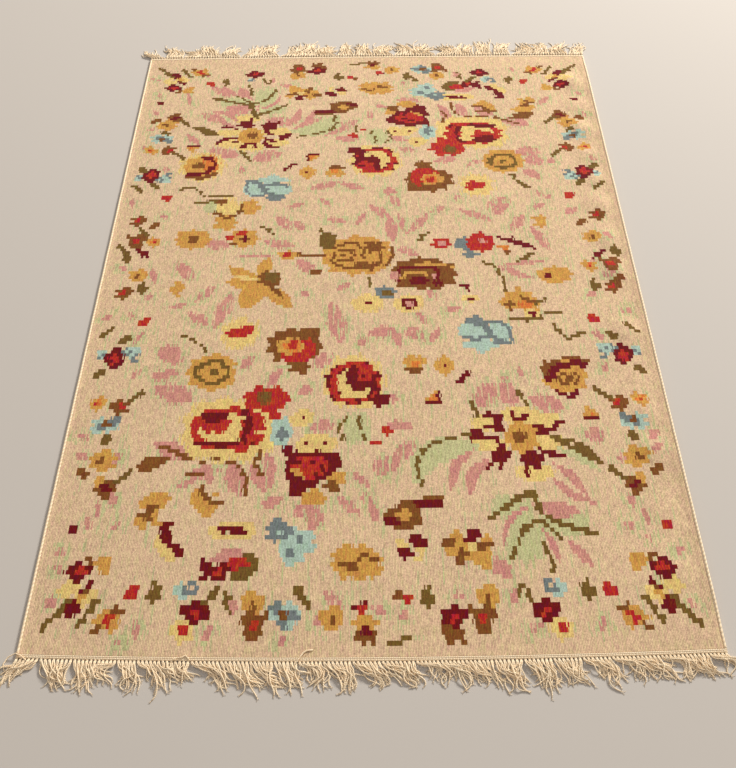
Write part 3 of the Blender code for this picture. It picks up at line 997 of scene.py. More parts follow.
BORDER = (
    Place(YELLOW_BUD, 326, -853),
    Place(YELLOW_BUD, -326, -853),
    Place(HALF_BLUE, 322, -778),
    Place(HALF_BLUE, -322, -778, 1, -1),
    Place(HALF_BLUE, 328, 790, -1),
    Place(SLATE_SPOT, -314, 796, -1),
    Place(RUST_BUD, -542, -28),
    Place(OLIVE_BUD, -504, -12),
    Place(MUSTARD_POSY, -520, 32),
    Place(ZIGZAG, -516, 102),
    Place(OLIVE_BUD, -552, 88),
    Place(DARK_HEART, -538, 144),
    Place(AMBER_BUD, -494, 142),
    Place(OLIVE_DASH, -566, 124),
    Place(RUST_BUD, -540, 216),
    Place(BROWN_SQUARE, -500, 204),
    Place(OLIVE_DASH, -526, 182),
    Place(RUST_BUD, 540, 222),
    Place(BROWN_SQUARE, 500, 196),
    Place(MUSTARD_POSY, 522, 152),
    Place(ZIGZAG, 524, 84, 1, -1),
    Place(OLIVE_BUD, 564, 100),
    Place(AMBER_BUD, 500, 48),
    Place(DARK_HEART, 546, 50),
    Place(RUST_BUD, 544, -24),
    Place(BROWN_SQUARE, 562, 4),
    Place(OLIVE_BUD, 502, -14),
    Place(MUSTARD_POSY, 206, -790),
    Place(MUSTARD_POSY, -208, -800, 1, -1),
    Place(DARK_HEART, 196, -836),
    Place(DARK_HEART, -201, -838, 1, -1),
    Place(RED_HEART, 148, -822),
    Place(BROWN_FOOT, 138, -858),
    Place(SLATE_POSY, -148, -820),
    Place(OLIVE_BUD, 98, -786),
    Place(OLIVE_TWIG, -124, -784),
    Place(OLIVE_DASH, -284, -780, 1, -1),
    Place(OLIVE_ARCH, 264, -782),
    Place(OLIVE_STRIP, -246, -796),
    Place(TWIN_BUD, 58, -784),
    Place(RED_CHIP, -24, -806),
    Place(MUSTARD_POSY, -71, -823),
    Place(CAP_FLOWER, -8, -850),
    Place(OLIVE_FLAT, 46, -872),
    Place(MUSTARD_POSY, -192, 814, -1),
    Place(MUSTARD_POSY, 192, 810, -1),
    Place(MUSTARD_POSY, 68, 842, -1),
    Place(DARK_HEART, -184, 850, -1),
    Place(DARK_HEART, 192, 848, -1),
    Place(SLATE_POSY, 148, 842, -1),
    Place(RED_HEART, -134, 842, -1),
    Place(OLIVE_BUD, -76, 806),
    Place(OLIVE_BUD, 112, 812),
    Place(OLIVE_STRIP, 244, 806, -1),
    Place(OLIVE_DASH, 284, 794, -1, -1),
    Place(OLIVE_ARCH, -262, 794, -1),
    Place(OLIVE_TWIG, 122, 800, -1),
    Place(BROWN_FOOT, -134, 862, -1),
    Place(TWIN_BUD, -44, 804, -1),
    Place(OLIVE_FLAT, -28, 873),
    Place(CAP_FLOWER, 14, 862, -1),
    Place(RED_CHIP, 40, 824, -1),
)

# Each row: the stalk's x and y, the tip's x and y, and the width.
LEAVES = tuple(
    Leaf(*row)
    for row in (
        (-413, 763, -367, 723, 24), (-340, 767, -327, 693, 18), (-233, 772, -193, 763, 16),
        (-267, 720, -293, 673, 18), (-430, 643, -367, 607, 26), (-373, 655, -317, 645, 24),
        (-260, 615, -187, 600, 32), (-187, 573, -120, 620, 20), (-107, 547, -27, 607, 28),
        (-67, 520, -20, 535, 16), (-460, 553, -427, 513, 16), (-400, 487, -327, 467, 34),
        (-287, 447, -220, 473, 34), (-313, 420, -310, 393, 12), (-140, 333, -73, 353, 20),
        (-67, 353, -7, 327, 18), (-567, 573, -547, 580, 12), (-503, 420, -497, 405, 12),
        (-560, 747, -547, 713, 10), (-480, 747, -467, 680, 10), (-590, 812, -560, 800, 9),
        (-467, 830, -427, 813, 10), (80, 700, 140, 693, 20), (193, 653, 220, 607, 24),
        (233, 653, 260, 627, 24), (293, 637, 333, 633, 14), (360, 607, 413, 587, 32),
        (2, 650, 13, 613, 14), (20, 673, 53, 667, 12), (47, 540, 100, 520, 20),
        (380, 473, 427, 467, 36), (393, 440, 433, 433, 30), (387, 400, 420, 367, 24),
        (453, 440, 460, 425, 18), (80, 493, 120, 473, 18), (247, 413, 280, 440, 14),
        (167, 433, 220, 447, 20), (447, 673, 480, 707, 14), (393, 848, 397, 828, 10),
        (40, 327, 67, 307, 24), (93, 785, 100, 772, 10), (553, 732, 567, 720, 12),
        (405, 312, 424, 300, 16), (-430, 70, -397, 13, 28), (-380, -53, -340, -7, 18),
        (-440, -77, -400, -63, 14), (-393, -93, -327, -127, 24), (-330, -133, -303, -33, 26),
        (-80, -63, -60, -180, 32), (-40, 0, -67, -20, 16), (-147, -27, -133, -40, 12),
        (-373, 133, -320, 127, 28), (-240, 140, -173, 127, 26), (-293, 90, -213, 93, 12),
        (-213, 222, -180, 187, 26), (-170, 213, -150, 180, 18), (-193, 260, -153, 277, 14),
        (-100, 220, -53, 210, 14), (-27, 197, -7, 240, 14), (-113, 293, -93, 267, 14),
        (-493, 237, -475, 227, 12), (-567, 298, -563, 267, 10), (-433, -193, -398, -232, 38),
        (-447, -277, -396, -262, 24), (-267, -253, -240, -217, 18), (-113, -247, -80, -213, 28),
        (-207, -300, -180, -253, 18), (-23, -187, -3, -165, 16), (-487, 47, -477, 7, 14),
        (-493, -47, -478, -33, 14), (-573, -113, -560, -93, 14), (-520, -87, -507, -113, 12),
        (-500, -180, -480, -147, 12), (-487, -275, -475, -253, 14), (-160, 73, -120, 33, 26),
        (-562, 62, -547, 47, 12), (7, 267, 50, 220, 22), (50, 225, 57, 140, 24), (57, 300, 73, 267, 20),
        (73, 233, 87, 167, 14), (93, 167, 147, 237, 20), (147, 235, 182, 260, 14),
        (220, 247, 287, 210, 20), (290, 250, 333, 285, 36), (307, 233, 322, 270, 26),
        (333, 173, 367, 227, 24), (380, 187, 413, 107, 20), (393, 253, 420, 267, 16),
        (467, 233, 497, 253, 16), (293, 50, 400, 67, 14), (300, 43, 373, 7, 16), (67, 113, 112, 92, 18),
        (133, -27, 147, -53, 16), (160, -93, 200, -80, 14), (103, -93, 127, -127, 14),
        (0, -160, 53, -143, 28), (53, -147, 67, -193, 18), (77, -150, 113, -160, 26),
        (113, -160, 133, -180, 16), (130, -182, 150, -143, 16), (477, -153, 497, -177, 16),
        (553, -102, 567, -87, 16), (480, -47, 500, -38, 12), (527, 13, 553, 33, 18),
        (505, 70, 520, 62, 12), (548, 160, 562, 142, 14), (487, -270, 493, -248, 12),
        (310, -258, 317, -282, 12), (273, -293, 283, -278, 12), (427, 287, 440, 300, 12),
        (207, 284, 220, 300, 12), (-433, -305, -360, -335, 40), (-140, -322, -120, -305, 20),
        (-407, -453, -353, -480, 36), (-353, -527, -287, -513, 24), (-367, -553, -333, -533, 16),
        (-267, -493, -240, -573, 36), (-200, -473, -187, -525, 22), (-190, -520, -202, -562, 20),
        (-200, -593, -167, -577, 20), (-140, -613, -93, -600, 30), (-98, -602, -110, -648, 26),
        (-60, -580, -20, -613, 20), (-33, -520, 0, -553, 14), (-13, -567, -3, -600, 16),
        (-113, -413, -73, -400, 26), (-573, -427, -553, -440, 14), (-500, -495, -480, -473, 16),
        (-567, -473, -550, -487, 14), (-490, -565, -480, -595, 14), (-510, -587, -507, -620, 10),
        (-523, -625, -517, -648, 12), (-475, -648, -463, -632, 10), (-563, -692, -557, -708, 14),
        (-567, -727, -553, -740, 12), (-567, -793, -550, -807, 16), (-407, -833, -400, -867, 11),
        (-437, -880, -423, -867, 11), (-287, -867, -273, -847, 14), (-157, -880, -147, -860, 11),
        (-80, -780, -47, -807, 16), (-94, -838, -92, -826, 12), (220, -353, 260, -307, 42),
        (262, -307, 293, -347, 38), (327, -340, 387, -367, 36), (427, -420, 453, -450, 28),
        (13, -520, 50, -484, 32), (47, -487, 87, -453, 26), (0, -580, 13, -633, 16),
        (213, -713, 247, -747, 28), (467, -640, 480, -655, 14), (507, -613, 513, -647, 10),
        (487, -578, 490, -608, 14), (493, -673, 520, -680, 9), (553, -709, 563, -698, 12),
        (147, -780, 160, -790, 12), (53, -833, 63, -813, 14), (0, -800, 27, -820, 14),
        (273, -860, 293, -840, 16), (393, -862, 400, -833, 12), (553, -807, 567, -820, 14),
        (247, -802, 253, -780, 12), (547, -447, 567, -427, 16), (480, -487, 497, -502, 14),
        (547, -482, 567, -467, 14), (40, -333, 60, -342, 16), (-560, 660, -548, 640, 10),
        (560, 640, 568, 615, 10), (-568, 505, -556, 492, 10), (556, 450, 566, 432, 12),
    )
)


def work_chart() -> Chart:
    """Return the finished chart of the whole rug."""
    chart = Chart()
    chart.fleck(PALE_GREEN, 0.05)
    for leaf in LEAVES:
        leaf.draw(chart)
    for pair in PAIRS:
        pair.flower.draw(chart, Spot(*pair.near))
        squeeze = chart.row_pitch(pair.far[1]) / chart.row_pitch(pair.near[1])
        pair.flower.draw(chart, Spot(*pair.far, turn=-1, tall=squeeze))
    for place in PLACES + BORDER:
        place.flower.draw(chart, Spot(place.x, place.y, place.turn, place.mirror))
    for quad in QUADS:
        for spot in quad.spots(chart):
            quad.flower.draw(chart, spot)
    MIDDLE.draw(chart, ORIGIN)
    for single in SINGLES:
        single.flower.draw(chart, Spot(single.x, single.y))
    return chart


class Draft:
    """A mesh in the making: points, faces, and what each of them carries."""

    def __init__(self) -> None:
        """Start with nothing drawn."""
        self.points: list[tuple[float, float, float]] = []
        self.faces: list[tuple[int, ...]] = []
        self.lay: list[tuple[float, float, float]] = []

    def tube(self, path: Sequence[Vector], radii: Sequence[float], sides: int, flat: float = 1.0) -> None:
        """Draw a closed tube along a path.

        Args:
            path: The points that the tube's middle follows.
            radii: The tube's radius at each of them.
            sides: How many sides it has.
            flat: Its height as a share of its width.
        """
        first = len(self.points)
        along = 0.0
        for number, (point, radius) in enumerate(zip(path, radii)):
            before = path[max(number - 1, 0)]
            after = path[min(number + 1, len(path) - 1)]
            along += (point - before).length
            heading = (after - before).normalized()
            side = Vector((heading.y, -heading.x, 0.0))
            side = side.normalized() if side.length > NO_LENGTH else Vector((1.0, 0.0, 0.0))
            up = side.cross(heading).normalized()
            for corner in range(sides):
                angle = 2 * math.pi * corner / sides
                wide = side * (radius * math.cos(angle))
                high = up * (radius * flat * math.sin(angle))
                self.points.append(tuple(point + wide + high))
                self.lay.append((along, math.cos(angle), math.sin(angle)))
        for ring in range(len(path) - 1):
            base = first + ring * sides
            for corner in range(sides):
                turned = base + (corner + 1) % sides
                self.faces.append((base + corner, turned, turned + sides, base + corner + sides))
        last = first + (len(path) - 1) * sides
        self.faces.append(tuple(first + corner for corner in reversed(range(sides))))
        self.faces.append(tuple(last + corner for corner in range(sides)))

    def finish(self, name: str, material: bpy.types.Material) -> bpy.types.Object:
        """Return the drawn mesh as an object of the scene.

        Args:
            name: The piece's name.
            material: Its finish.

        Returns:
            The new object, at the origin.
        """
        mesh = bpy.data.meshes.new(name)
        mesh.from_pydata(self.points, [], self.faces)
        layer = mesh.attributes.new("lay", "FLOAT_VECTOR", "POINT")
        layer.data.foreach_set("vector", np.array(self.lay, np.float32).ravel())
        mesh.shade_smooth()
        mesh.materials.append(material)
        mesh.validate()
        obj = bpy.data.objects.new(name, mesh)
        bpy.context.scene.collection.objects.link(obj)
        return obj


@dataclass
class WovenPanel:
    """The woven panel: one closed sheet, its ribs and rows coloured by the chart on both faces."""

    chart: Chart
    rest_rows: int = 12
    mound_rows: int = 3
    sharp_angle: float = 40.0
    map_margin: float = 0.005
    top_share: float = 0.66
    top_length: float = 0.985
    back_share: float = 0.30
    back_length: float = 0.45
    back_left: float = 0.68
    rim_corner: tuple[float, float] = (0.70, 0.52)
    rim_size: tuple[float, float] = (0.1, 0.45)
    rim_width: float = 0.004

    def row_edges(self) -> list[float]:
        """Return the edges of the rows, from -1 at the near end to 1 at the far end."""
        return [2 * self.chart.along(row / self.chart.rows) - 1 for row in range(self.chart.rows + 1)]

    def kept_corners(self) -> np.ndarray:
        """Return which corners of the grid the mesh needs, where a yarn changes or the cloth rises."""
        rows, ribs = self.chart.yarns.shape
        changes = self.chart.yarns[1:] != self.chart.yarns[:-1]
        kept = np.zeros((rows + 1, ribs + 1), bool)
        kept[1:rows, :ribs] |= changes
        kept[1:rows, 1:] |= changes
        kept[0] = True
        kept[rows] = True
        kept[:: self.rest_rows] = True
        rising = int(ribs * (1 - CLOTH.mound_width / (2 * CLOTH.panel_half)))
        kept[:: self.mound_rows, rising:] = True
        return kept

    def build(self, material: bpy.types.Material) -> bpy.types.Object:
        """Weave the panel.

        Args:
            material: The wool's finish.

        Returns:
            The panel's object.
        """
        kept = self.kept_corners()
        numbers = np.full(kept.shape, -1)
        numbers[kept] = np.arange(kept.sum())
        tops, flats = self.place_corners(kept)
        count = len(tops)
        face, yarns = self.weave_faces(kept, numbers)
        triangles = face + [(c + count, b + count, a + count) for a, b, c in face]
        yarns = yarns * 2
        for start, stop in self.rim(kept, numbers):
            triangles.append((stop, start, start + count))
            triangles.append((stop, start + count, stop + count))
            yarns += [Yarn.CREAM.value] * 2
        points = tops + [(x, y, z - CLOTH.thickness) for x, y, z in tops]
        mesh = bpy.data.meshes.new("woven_wool")
        mesh.from_pydata(points, [], triangles)
        mesh.shade_smooth()
        mesh.set_sharp_from_angle(angle=math.radians(self.sharp_angle))
        self.colour(mesh, np.array(yarns))
        self.unwrap(mesh, np.array(flats), len(face), count)
        mesh.materials.append(material)
        obj = bpy.data.objects.new("woven_wool", mesh)
        bpy.context.scene.collection.objects.link(obj)
        return obj

    def place_corners(self, kept: np.ndarray) -> tuple[list, list]:
        """Return the kept corners' places on the upper face, and their shares of its width and length."""
        ribs = kept.shape[1] - 1
        half = CLOTH.panel_half
        edges = self.row_edges()
        tops = []
        flats = []
        for row, rib in zip(*np.nonzero(kept)):
            x = -half + 2 * half * rib / ribs
            y = edges[row] * CLOTH.end_line(x, -1 if edges[row] < 0 else 1)
            tops.append((x, y, CLOTH.lift(x, y) + CLOTH.thickness))
            flats.append((rib / ribs, (edges[row] + 1) / 2))
        return tops, flats

    def weave_faces(self, kept: np.ndarray, numbers: np.ndarray) -> tuple[list, list]:
        """Join the kept corners rib by rib, from the near end to the far end.

        Args:
            kept: Which corners of the grid the mesh has.
            numbers: Each kept corner's number.

        Returns:
            The upper face's triangles, and the yarn of each.
        """
        rows, ribs = self.chart.yarns.shape
        triangles = []
        yarns = []
        for rib in range(ribs):
            left = np.nonzero(kept[:, rib])[0]
            right = np.nonzero(kept[:, rib + 1])[0]
            i = j = 0
            while i < len(left) - 1 or j < len(right) - 1:
                row = min(left[i], right[j])
                low_left = numbers[left[i], rib]
                low_right = numbers[right[j], rib + 1]
                climb_left = j == len(right) - 1 or (i < len(left) - 1 and left[i + 1] <= right[j + 1])
                if climb_left:
                    i += 1
                    triangles.append((low_left, low_right, numbers[left[i], rib]))
                else:
                    j += 1
                    triangles.append((low_left, low_right, numbers[right[j], rib + 1]))
                yarns.append(self.chart.yarns[min(row, rows - 1), rib])
        return triangles, yarns

    def rim(self, kept: np.ndarray, numbers: np.ndarray) -> list[tuple[int, int]]:
        """Return the edge pairs round the panel, in turn to the left."""
        rows, ribs = self.chart.yarns.shape
        right = [numbers[row, ribs] for row in np.nonzero(kept[:, ribs])[0]]
        left = [numbers[row, 0] for row in np.nonzero(kept[:, 0])[0]]
        loop = list(numbers[0]) + right[1:] + list(numbers[rows][::-1])[1:] + left[::-1][1:]
        return [(int(a), int(b)) for a, b in zip(loop, loop[1:])]

    def colour(self, mesh: bpy.types.Mesh, yarns: np.ndarray) -> None:
        """Give every triangle the colour of its yarn."""
        palette = np.array([DYES[yarn].linear() for yarn in Yarn], np.float32)
        layer = mesh.color_attributes.new("yarn", "FLOAT_COLOR", "CORNER")
        layer.data.foreach_set("color", np.repeat(palette[yarns], 3, axis=0).ravel())

    def unwrap(self, mesh: bpy.types.Mesh, flats: np.ndarray, top_count: int, count: int) -> None:
        """Lay out the panel's own map: the face large, the back small beside it, the rim as a strip."""
        corners = np.zeros(len(mesh.loops), np.int64)
        mesh.loops.foreach_get("vertex_index", corners)
        flat = flats[corners % count]
        placed = flat * (self.top_share, self.top_length) + self.map_margin
        back = slice(3 * top_count, 6 * top_count)
        right = self.back_left + self.back_share
        placed[back] = flat[back] * (-self.back_share, self.back_length) + (right, self.map_margin)
        rim = slice(6 * top_count, len(placed))
        under = corners[rim] >= count
        placed[rim, 0] = self.rim_corner[0] + self.rim_width * under + self.rim_size[0] * flat[rim, 0]
        placed[rim, 1] = self.rim_corner[1] + self.rim_size[1] * flat[rim, 1]
        layer = mesh.uv_layers.new(name="OFBake")
        layer.data.foreach_set("uv", placed.astype(np.float32).ravel())


@dataclass(frozen=True)
class SideCord:
    """The overcast cord along a long side: wool wound over the edge in close slanting turns."""

    name: str
    side: int
    ring_pitch: float = 0.0022
    turn_pitch: float = 0.0088
    corners: int = 10
    wander: float = 0.00012
    wander_rate: float = 61.0
    height_share: float = 0.99
    pulse: float = 0.06
    uneven: tuple[float, float] = (0.97, 1.02)

    def build(self, material: bpy.types.Material) -> bpy.types.Object:
        """Return the cord's object, dressed in the given finish."""
        draft = Draft()
        radius = CLOTH.cord_radius
        rings = round(CLOTH.length / self.ring_pitch)
        centre_x = self.side * (CLOTH.width / 2 - radius)
        path = []
        radii = []
        draw = random.Random(self.name)
        for number in range(rings + 1):
            y = CLOTH.length * (number / rings - 0.5)
            wander = self.wander * math.sin(y * self.wander_rate + self.side)
            height = CLOTH.lift(centre_x, y) + radius * self.height_share
            path.append(Vector((centre_x + wander, y, height)))
            pulse = 1 - self.pulse + self.pulse * math.cos(2 * math.pi * y / self.turn_pitch)
            radii.append(radius * pulse * draw.uniform(*self.uneven))
        draft.tube(path, radii, self.corners)
        return draft.finish(self.name, material)


@dataclass(frozen=True)
class Bunch:
    """Neighbouring locks of a fringe that lie together."""

    locks: int
    lean: float
    reach: float
    gather: float


NEAR_BUNCHES = (
    Bunch(5, -0.026, 0.062, 0.66), Bunch(7, 0.008, 0.060, 0.58), Bunch(5, -0.004, 0.064, 0.62),
    Bunch(4, 0.000, 0.066, 0.64), Bunch(4, 0.008, 0.064, 0.64), Bunch(5, 0.018, 0.066, 0.62),
    Bunch(6, 0.020, 0.050, 0.62), Bunch(6, 0.026, 0.060, 0.60), Bunch(6, 0.030, 0.064, 0.60),
    Bunch(5, 0.024, 0.064, 0.62), Bunch(5, 0.014, 0.062, 0.62), Bunch(5, 0.010, 0.056, 0.62),
    Bunch(6, 0.016, 0.060, 0.62), Bunch(6, 0.028, 0.060, 0.62), Bunch(7, 0.029, 0.054, 0.62),
    Bunch(5, 0.028, 0.056, 0.62), Bunch(5, 0.024, 0.060, 0.64), Bunch(6, 0.018, 0.054, 0.62),
    Bunch(6, 0.010, 0.064, 0.60), Bunch(6, 0.012, 0.066, 0.60), Bunch(6, 0.014, 0.056, 0.62),
    Bunch(6, 0.022, 0.060, 0.62), Bunch(5, 0.026, 0.062, 0.64), Bunch(5, 0.028, 0.062, 0.64),
    Bunch(5, 0.028, 0.062, 0.66), Bunch(5, 0.026, 0.062, 0.68), Bunch(4, 0.030, 0.060, 0.72),
)
FAR_BUNCHES = (
    Bunch(5, -0.028, 0.058, 0.72), Bunch(6, -0.012, 0.064, 0.66), Bunch(6, -0.006, 0.066, 0.64),
    Bunch(7, -0.010, 0.070, 0.62), Bunch(6, 0.004, 0.070, 0.62), Bunch(7, 0.010, 0.068, 0.62),
    Bunch(6, 0.004, 0.072, 0.64), Bunch(7, 0.010, 0.076, 0.60), Bunch(6, 0.002, 0.078, 0.60),
    Bunch(6, 0.008, 0.074, 0.62), Bunch(6, 0.000, 0.074, 0.60), Bunch(7, -0.004, 0.072, 0.62),
    Bunch(6, 0.004, 0.076, 0.60), Bunch(7, -0.002, 0.074, 0.62), Bunch(7, 0.002, 0.072, 0.60),
    Bunch(6, 0.000, 0.076, 0.60), Bunch(7, 0.006, 0.074, 0.60), Bunch(6, -0.002, 0.076, 0.62),
    Bunch(6, 0.004, 0.076, 0.60), Bunch(7, 0.006, 0.074, 0.60), Bunch(6, 0.002, 0.076, 0.62),
    Bunch(6, 0.006, 0.072, 0.64), Bunch(5, 0.010, 0.066, 0.70),
)


@dataclass(frozen=True)
class Stray:
    """A loose yarn over the heading: its points as x, distance out from the cloth's end, and height."""

    points: tuple[tuple[float, float, float], ...]


@dataclass(frozen=True)
class Lock:
    """A knot of the fringe and the way its yarns sweep."""

    root: float
    sweep: float
    reach: float
    swirl: float


@dataclass(frozen=True)
class Knot:
    """A knot's place past the cloth's end, its form, and the two legs that reach it from the heading.

    The form's points each give a place along the knot, from -1 at its root to 1, and a share of its radius.
    """

    out: float = 0.0090
    out_stray: float = 0.0006
    half: float = 0.0023
    radius: float = 0.0023
    height_share: float = 0.95
    flat: float = 0.92
    tilt: float = 0.7
    form: tuple[tuple[float, float], ...] = ((-1, 0.45), (-0.55, 0.88), (0, 1.0), (0.6, 0.85), (1, 0.5))
    corners: int = 7
    leg_aside: float = 0.0026
    leg_out: float = 0.0050
    leg_height: float = 0.0020
    leg_knee: float = 0.55
    leg_end: float = 0.5
    leg_radii: tuple[float, float, float] = (0.0010, 0.0010, 0.0012)


@dataclass(frozen=True)
class Habit:
    """How the yarns of a fringe bend, wave and curl on their way out, with angles in radians."""

    start: float = 0.4
    aside: float = 0.0016
    lean: float = 1.3
    turn: float = 0.30
    curl: tuple[float, float] = (0.12, 0.85)
    hook: float = 0.9
    waves: tuple[float, float] = (0.6, 1.5)
    wave_onset: float = 2.5
    height: float = 0.0050
    drop_rate: float = 3.0
    arch_rate: float = 1.15
    bend: tuple[float, float] = (0.7, 0.9)
    fan: float = 0.12
    least_out: float = 0.1
    loose_turn: float = 2.2
    loose_curl: float = 1.6
    loose_length: float = 1.18


@dataclass(frozen=True)
class Fray:
    """The two plies at a yarn's tip: places along and aside are shares of their reach."""

    yarn_share: float = 0.7
    reach: tuple[float, float] = (0.003, 0.007)
    curl: tuple[float, float] = (0.2, 0.9)
    middle: tuple[float, float] = (0.5, 0.25)
    stop: tuple[float, float] = (0.9, 0.8)
    root: float = 0.001
    least_height: float = 0.0006
    stop_height: float = 0.0005
    radii: tuple[float, float, float] = (0.0004, 0.0004, 0.00025)


@dataclass
class Fringe:
    """A knotted end: a twined heading, a row of knots and the cotton warps that hang from them."""

    name: str
    end: int
    bunches: tuple[Bunch, ...]
    strays: tuple[Stray, ...] = ()
    yarns_a_knot: int = 4
    heading_radius: float = 0.0019
    heading_outs: tuple[float, float] = (0.0018, 0.0048)
    heading_height: float = 0.0029
    heading_drop: float = 0.0005
    heading_inset: float = 0.001
    heading_beats: int = 420
    beat_shift: float = 0.00015
    beat_swell: float = 0.10
    knot: Knot = Knot()
    habit: Habit = Habit()
    fray: Fray = Fray()
    yarn_radius: float = 0.00112
    steps: int = 14
    shortest: float = 0.56
    longest: float = 0.98
    loose_share: float = 0.16
    swirl: float = 0.55
    lean_share: float = 1.25
    draw_in: float = 0.50
    unruly: float = 1.0

    def locks(self) -> list[Lock]:
        """Return the knots from the left corner to the right, a little closer than the solid locks."""
        pitch = CLOTH.width / sum(bunch.locks for bunch in self.bunches)
        left = -CLOTH.width / 2
        draw = random.Random(self.name + " bunches")
        found = []
        for bunch in self.bunches:
            swirl = draw.gauss(0, self.swirl)
            span = bunch.locks * pitch
            centre = left + span / 2
            knots = bunch.locks + 1
            for number in range(knots):
                root = left + span * (number + 0.5) / knots
                gathered = (root - centre) * bunch.gather * self.draw_in
                sweep = centre + bunch.lean * self.lean_share + gathered - root
                found.append(Lock(root, sweep, bunch.reach, swirl))
            left += span
        return found

    def point(self, x: float, out: float, z: float) -> Vector:
        """Return the place at x that lies out past the cloth's end, at height z."""
        return Vector((x, self.end * (CLOTH.end_line(x, self.end) + CLOTH.gap + out), z))

    def add_heading(self, draft: Draft) -> None:
        """Draw the two twined cords between the cloth and the knots."""
        half = CLOTH.width / 2 - self.heading_inset
        beats = self.heading_beats
        for row, out in enumerate(self.heading_outs):
            height = self.heading_height - self.heading_drop * row
            path = []
            radii = []
            for step in range(beats + 1):
                x = half * (2 * step / beats - 1)
                beat = math.cos(math.pi * step + row * math.pi)
                path.append(self.point(x, out + self.beat_shift * beat, height))
                radii.append(self.heading_radius * (1 + self.beat_swell * beat))
            draft.tube(path, radii, 6)

    def add_knot(self, draft: Draft, lock: Lock, draw: random.Random) -> None:
        """Draw a knot and the two legs that reach it from the heading."""
        knot = self.knot
        out = knot.out + draw.uniform(-knot.out_stray, knot.out_stray)
        tilt = knot.tilt * lock.sweep / lock.reach
        centre = self.point(lock.root, out, knot.radius * knot.height_share)
        along = Vector((tilt, self.end, 0)).normalized() * knot.half
        path = [centre + along * place for place, _share in knot.form]
        draft.tube(path, [knot.radius * share for _place, share in knot.form], knot.corners, knot.flat)
        for leg in (-1, 1):
            start = self.point(lock.root + leg * knot.leg_aside, knot.leg_out, knot.leg_height)
            knee = start.lerp(centre, knot.leg_knee)
            draft.tube([start, knee, centre - along * knot.leg_end], knot.leg_radii, 4)

    def add_yarn(self, draft: Draft, lock: Lock, share: float, draw: random.Random) -> None:
        """Draw one yarn from its knot to its frayed tip.

        Args:
            draft: The mesh that takes it.
            lock: The knot and its sweep.
            share: The yarn's place in the lock, from -1 to 1.
            draw: The seeded source of its waves.
        """
        habit = self.habit
        length = lock.reach * draw.uniform(self.shortest, self.longest)
        lean = math.atan2(lock.sweep * habit.lean, lock.reach)
        turn = draw.gauss(0, habit.turn) * self.unruly
        curl = draw.uniform(*habit.curl) * self.unruly
        if draw.random() < self.loose_share:
            turn *= habit.loose_turn
            curl *= habit.loose_curl
            length *= habit.loose_length
        waves = draw.uniform(*habit.waves)
        phase = draw.uniform(0, 2 * math.pi)
        hook = draw.gauss(0, habit.hook) * self.unruly
        height = draw.uniform(0.0, habit.height)
        x = lock.root + share * habit.aside
        out = self.knot.out + self.knot.half * habit.start
        path = []
        for step in range(self.steps + 1):
            along = step / self.steps
            arch = math.sin(math.pi * min(along * habit.arch_rate, 1))
            drop = (1 - soft_step(along * habit.drop_rate)) * self.knot.radius
            path.append(self.point(x, out, self.yarn_radius + drop + height * arch))
            wave = math.sin(phase + waves * 2 * math.pi * along) * min(1, along * habit.wave_onset)
            bend = lean * (habit.bend[0] + habit.bend[1] * arch)
            swirl = lock.swirl * math.sin(2 * math.pi * along)
            angle = bend + swirl + turn * along + share * habit.fan + curl * wave + hook * along**4
            x += math.sin(angle) * length / self.steps
            out += max(math.cos(angle), habit.least_out) * length / self.steps
        radii = [self.yarn_radius] * self.steps + [self.yarn_radius * self.fray.yarn_share]
        draft.tube(path, radii, 4)
        self.add_plies(draft, path, draw)

    def add_plies(self, draft: Draft, path: Sequence[Vector], draw: random.Random) -> None:
        """Draw the two plies that fray out at the tip of a yarn.

        Args:
            draft: The mesh that takes them.
            path: The yarn's own path.
            draw: The seeded source of their curls.
        """
        fray = self.fray
        tip = path[-1]
        heading = (path[-1] - path[-2]).normalized()
        for ply in (-1, 1):
            side = Vector((heading.y, -heading.x, 0)) * ply
            reach = draw.uniform(*fray.reach)
            curl = draw.uniform(*fray.curl)
            middle = tip + heading * reach * fray.middle[0] + side * reach * fray.middle[1] * curl
            stop = tip + heading * reach * fray.stop[0] + side * reach * fray.stop[1] * curl
            middle.z = max(middle.z, fray.least_height)
            stop.z = fray.stop_height
            draft.tube([tip - heading * fray.root, middle, stop], fray.radii, 3)

    def build(self, material: bpy.types.Material) -> bpy.types.Object:
        """Return the fringe's object, dressed in the given finish."""
        draft = Draft()
        draw = random.Random(self.name)
        self.add_heading(draft)
        for lock in self.locks():
            self.add_knot(draft, lock, draw)
            for number in range(self.yarns_a_knot):
                share = 2 * (number + 0.5) / self.yarns_a_knot - 1
                self.add_yarn(draft, lock, share, draw)
        for stray in self.strays:
            path = [self.point(*point) for point in stray.points]
            draft.tube(path, [self.yarn_radius] * len(path), 5)
        return draft.finish(self.name, material)


NEAR_STRAYS = (
    Stray(((-0.580, 0.012, 0.004), (-0.590, 0.004, 0.006), (-0.600, 0.000, 0.006), (-0.612, 0.006, 0.003),
           (-0.618, 0.018, 0.0014), (-0.614, 0.030, 0.0014))),
    Stray(((-0.338, 0.014, 0.004), (-0.334, 0.006, 0.006), (-0.326, 0.003, 0.0062), (-0.318, 0.002, 0.0058),
           (-0.312, -0.002, 0.0056), (-0.306, 0.006, 0.005))),
    Stray(((-0.128, 0.016, 0.004), (-0.124, 0.008, 0.006), (-0.119, 0.000, 0.0062), (-0.114, -0.008, 0.0056),
           (-0.108, -0.012, 0.0052), (-0.098, -0.013, 0.0050))),
)


Value: TypeAlias = "Socket | float | tuple"


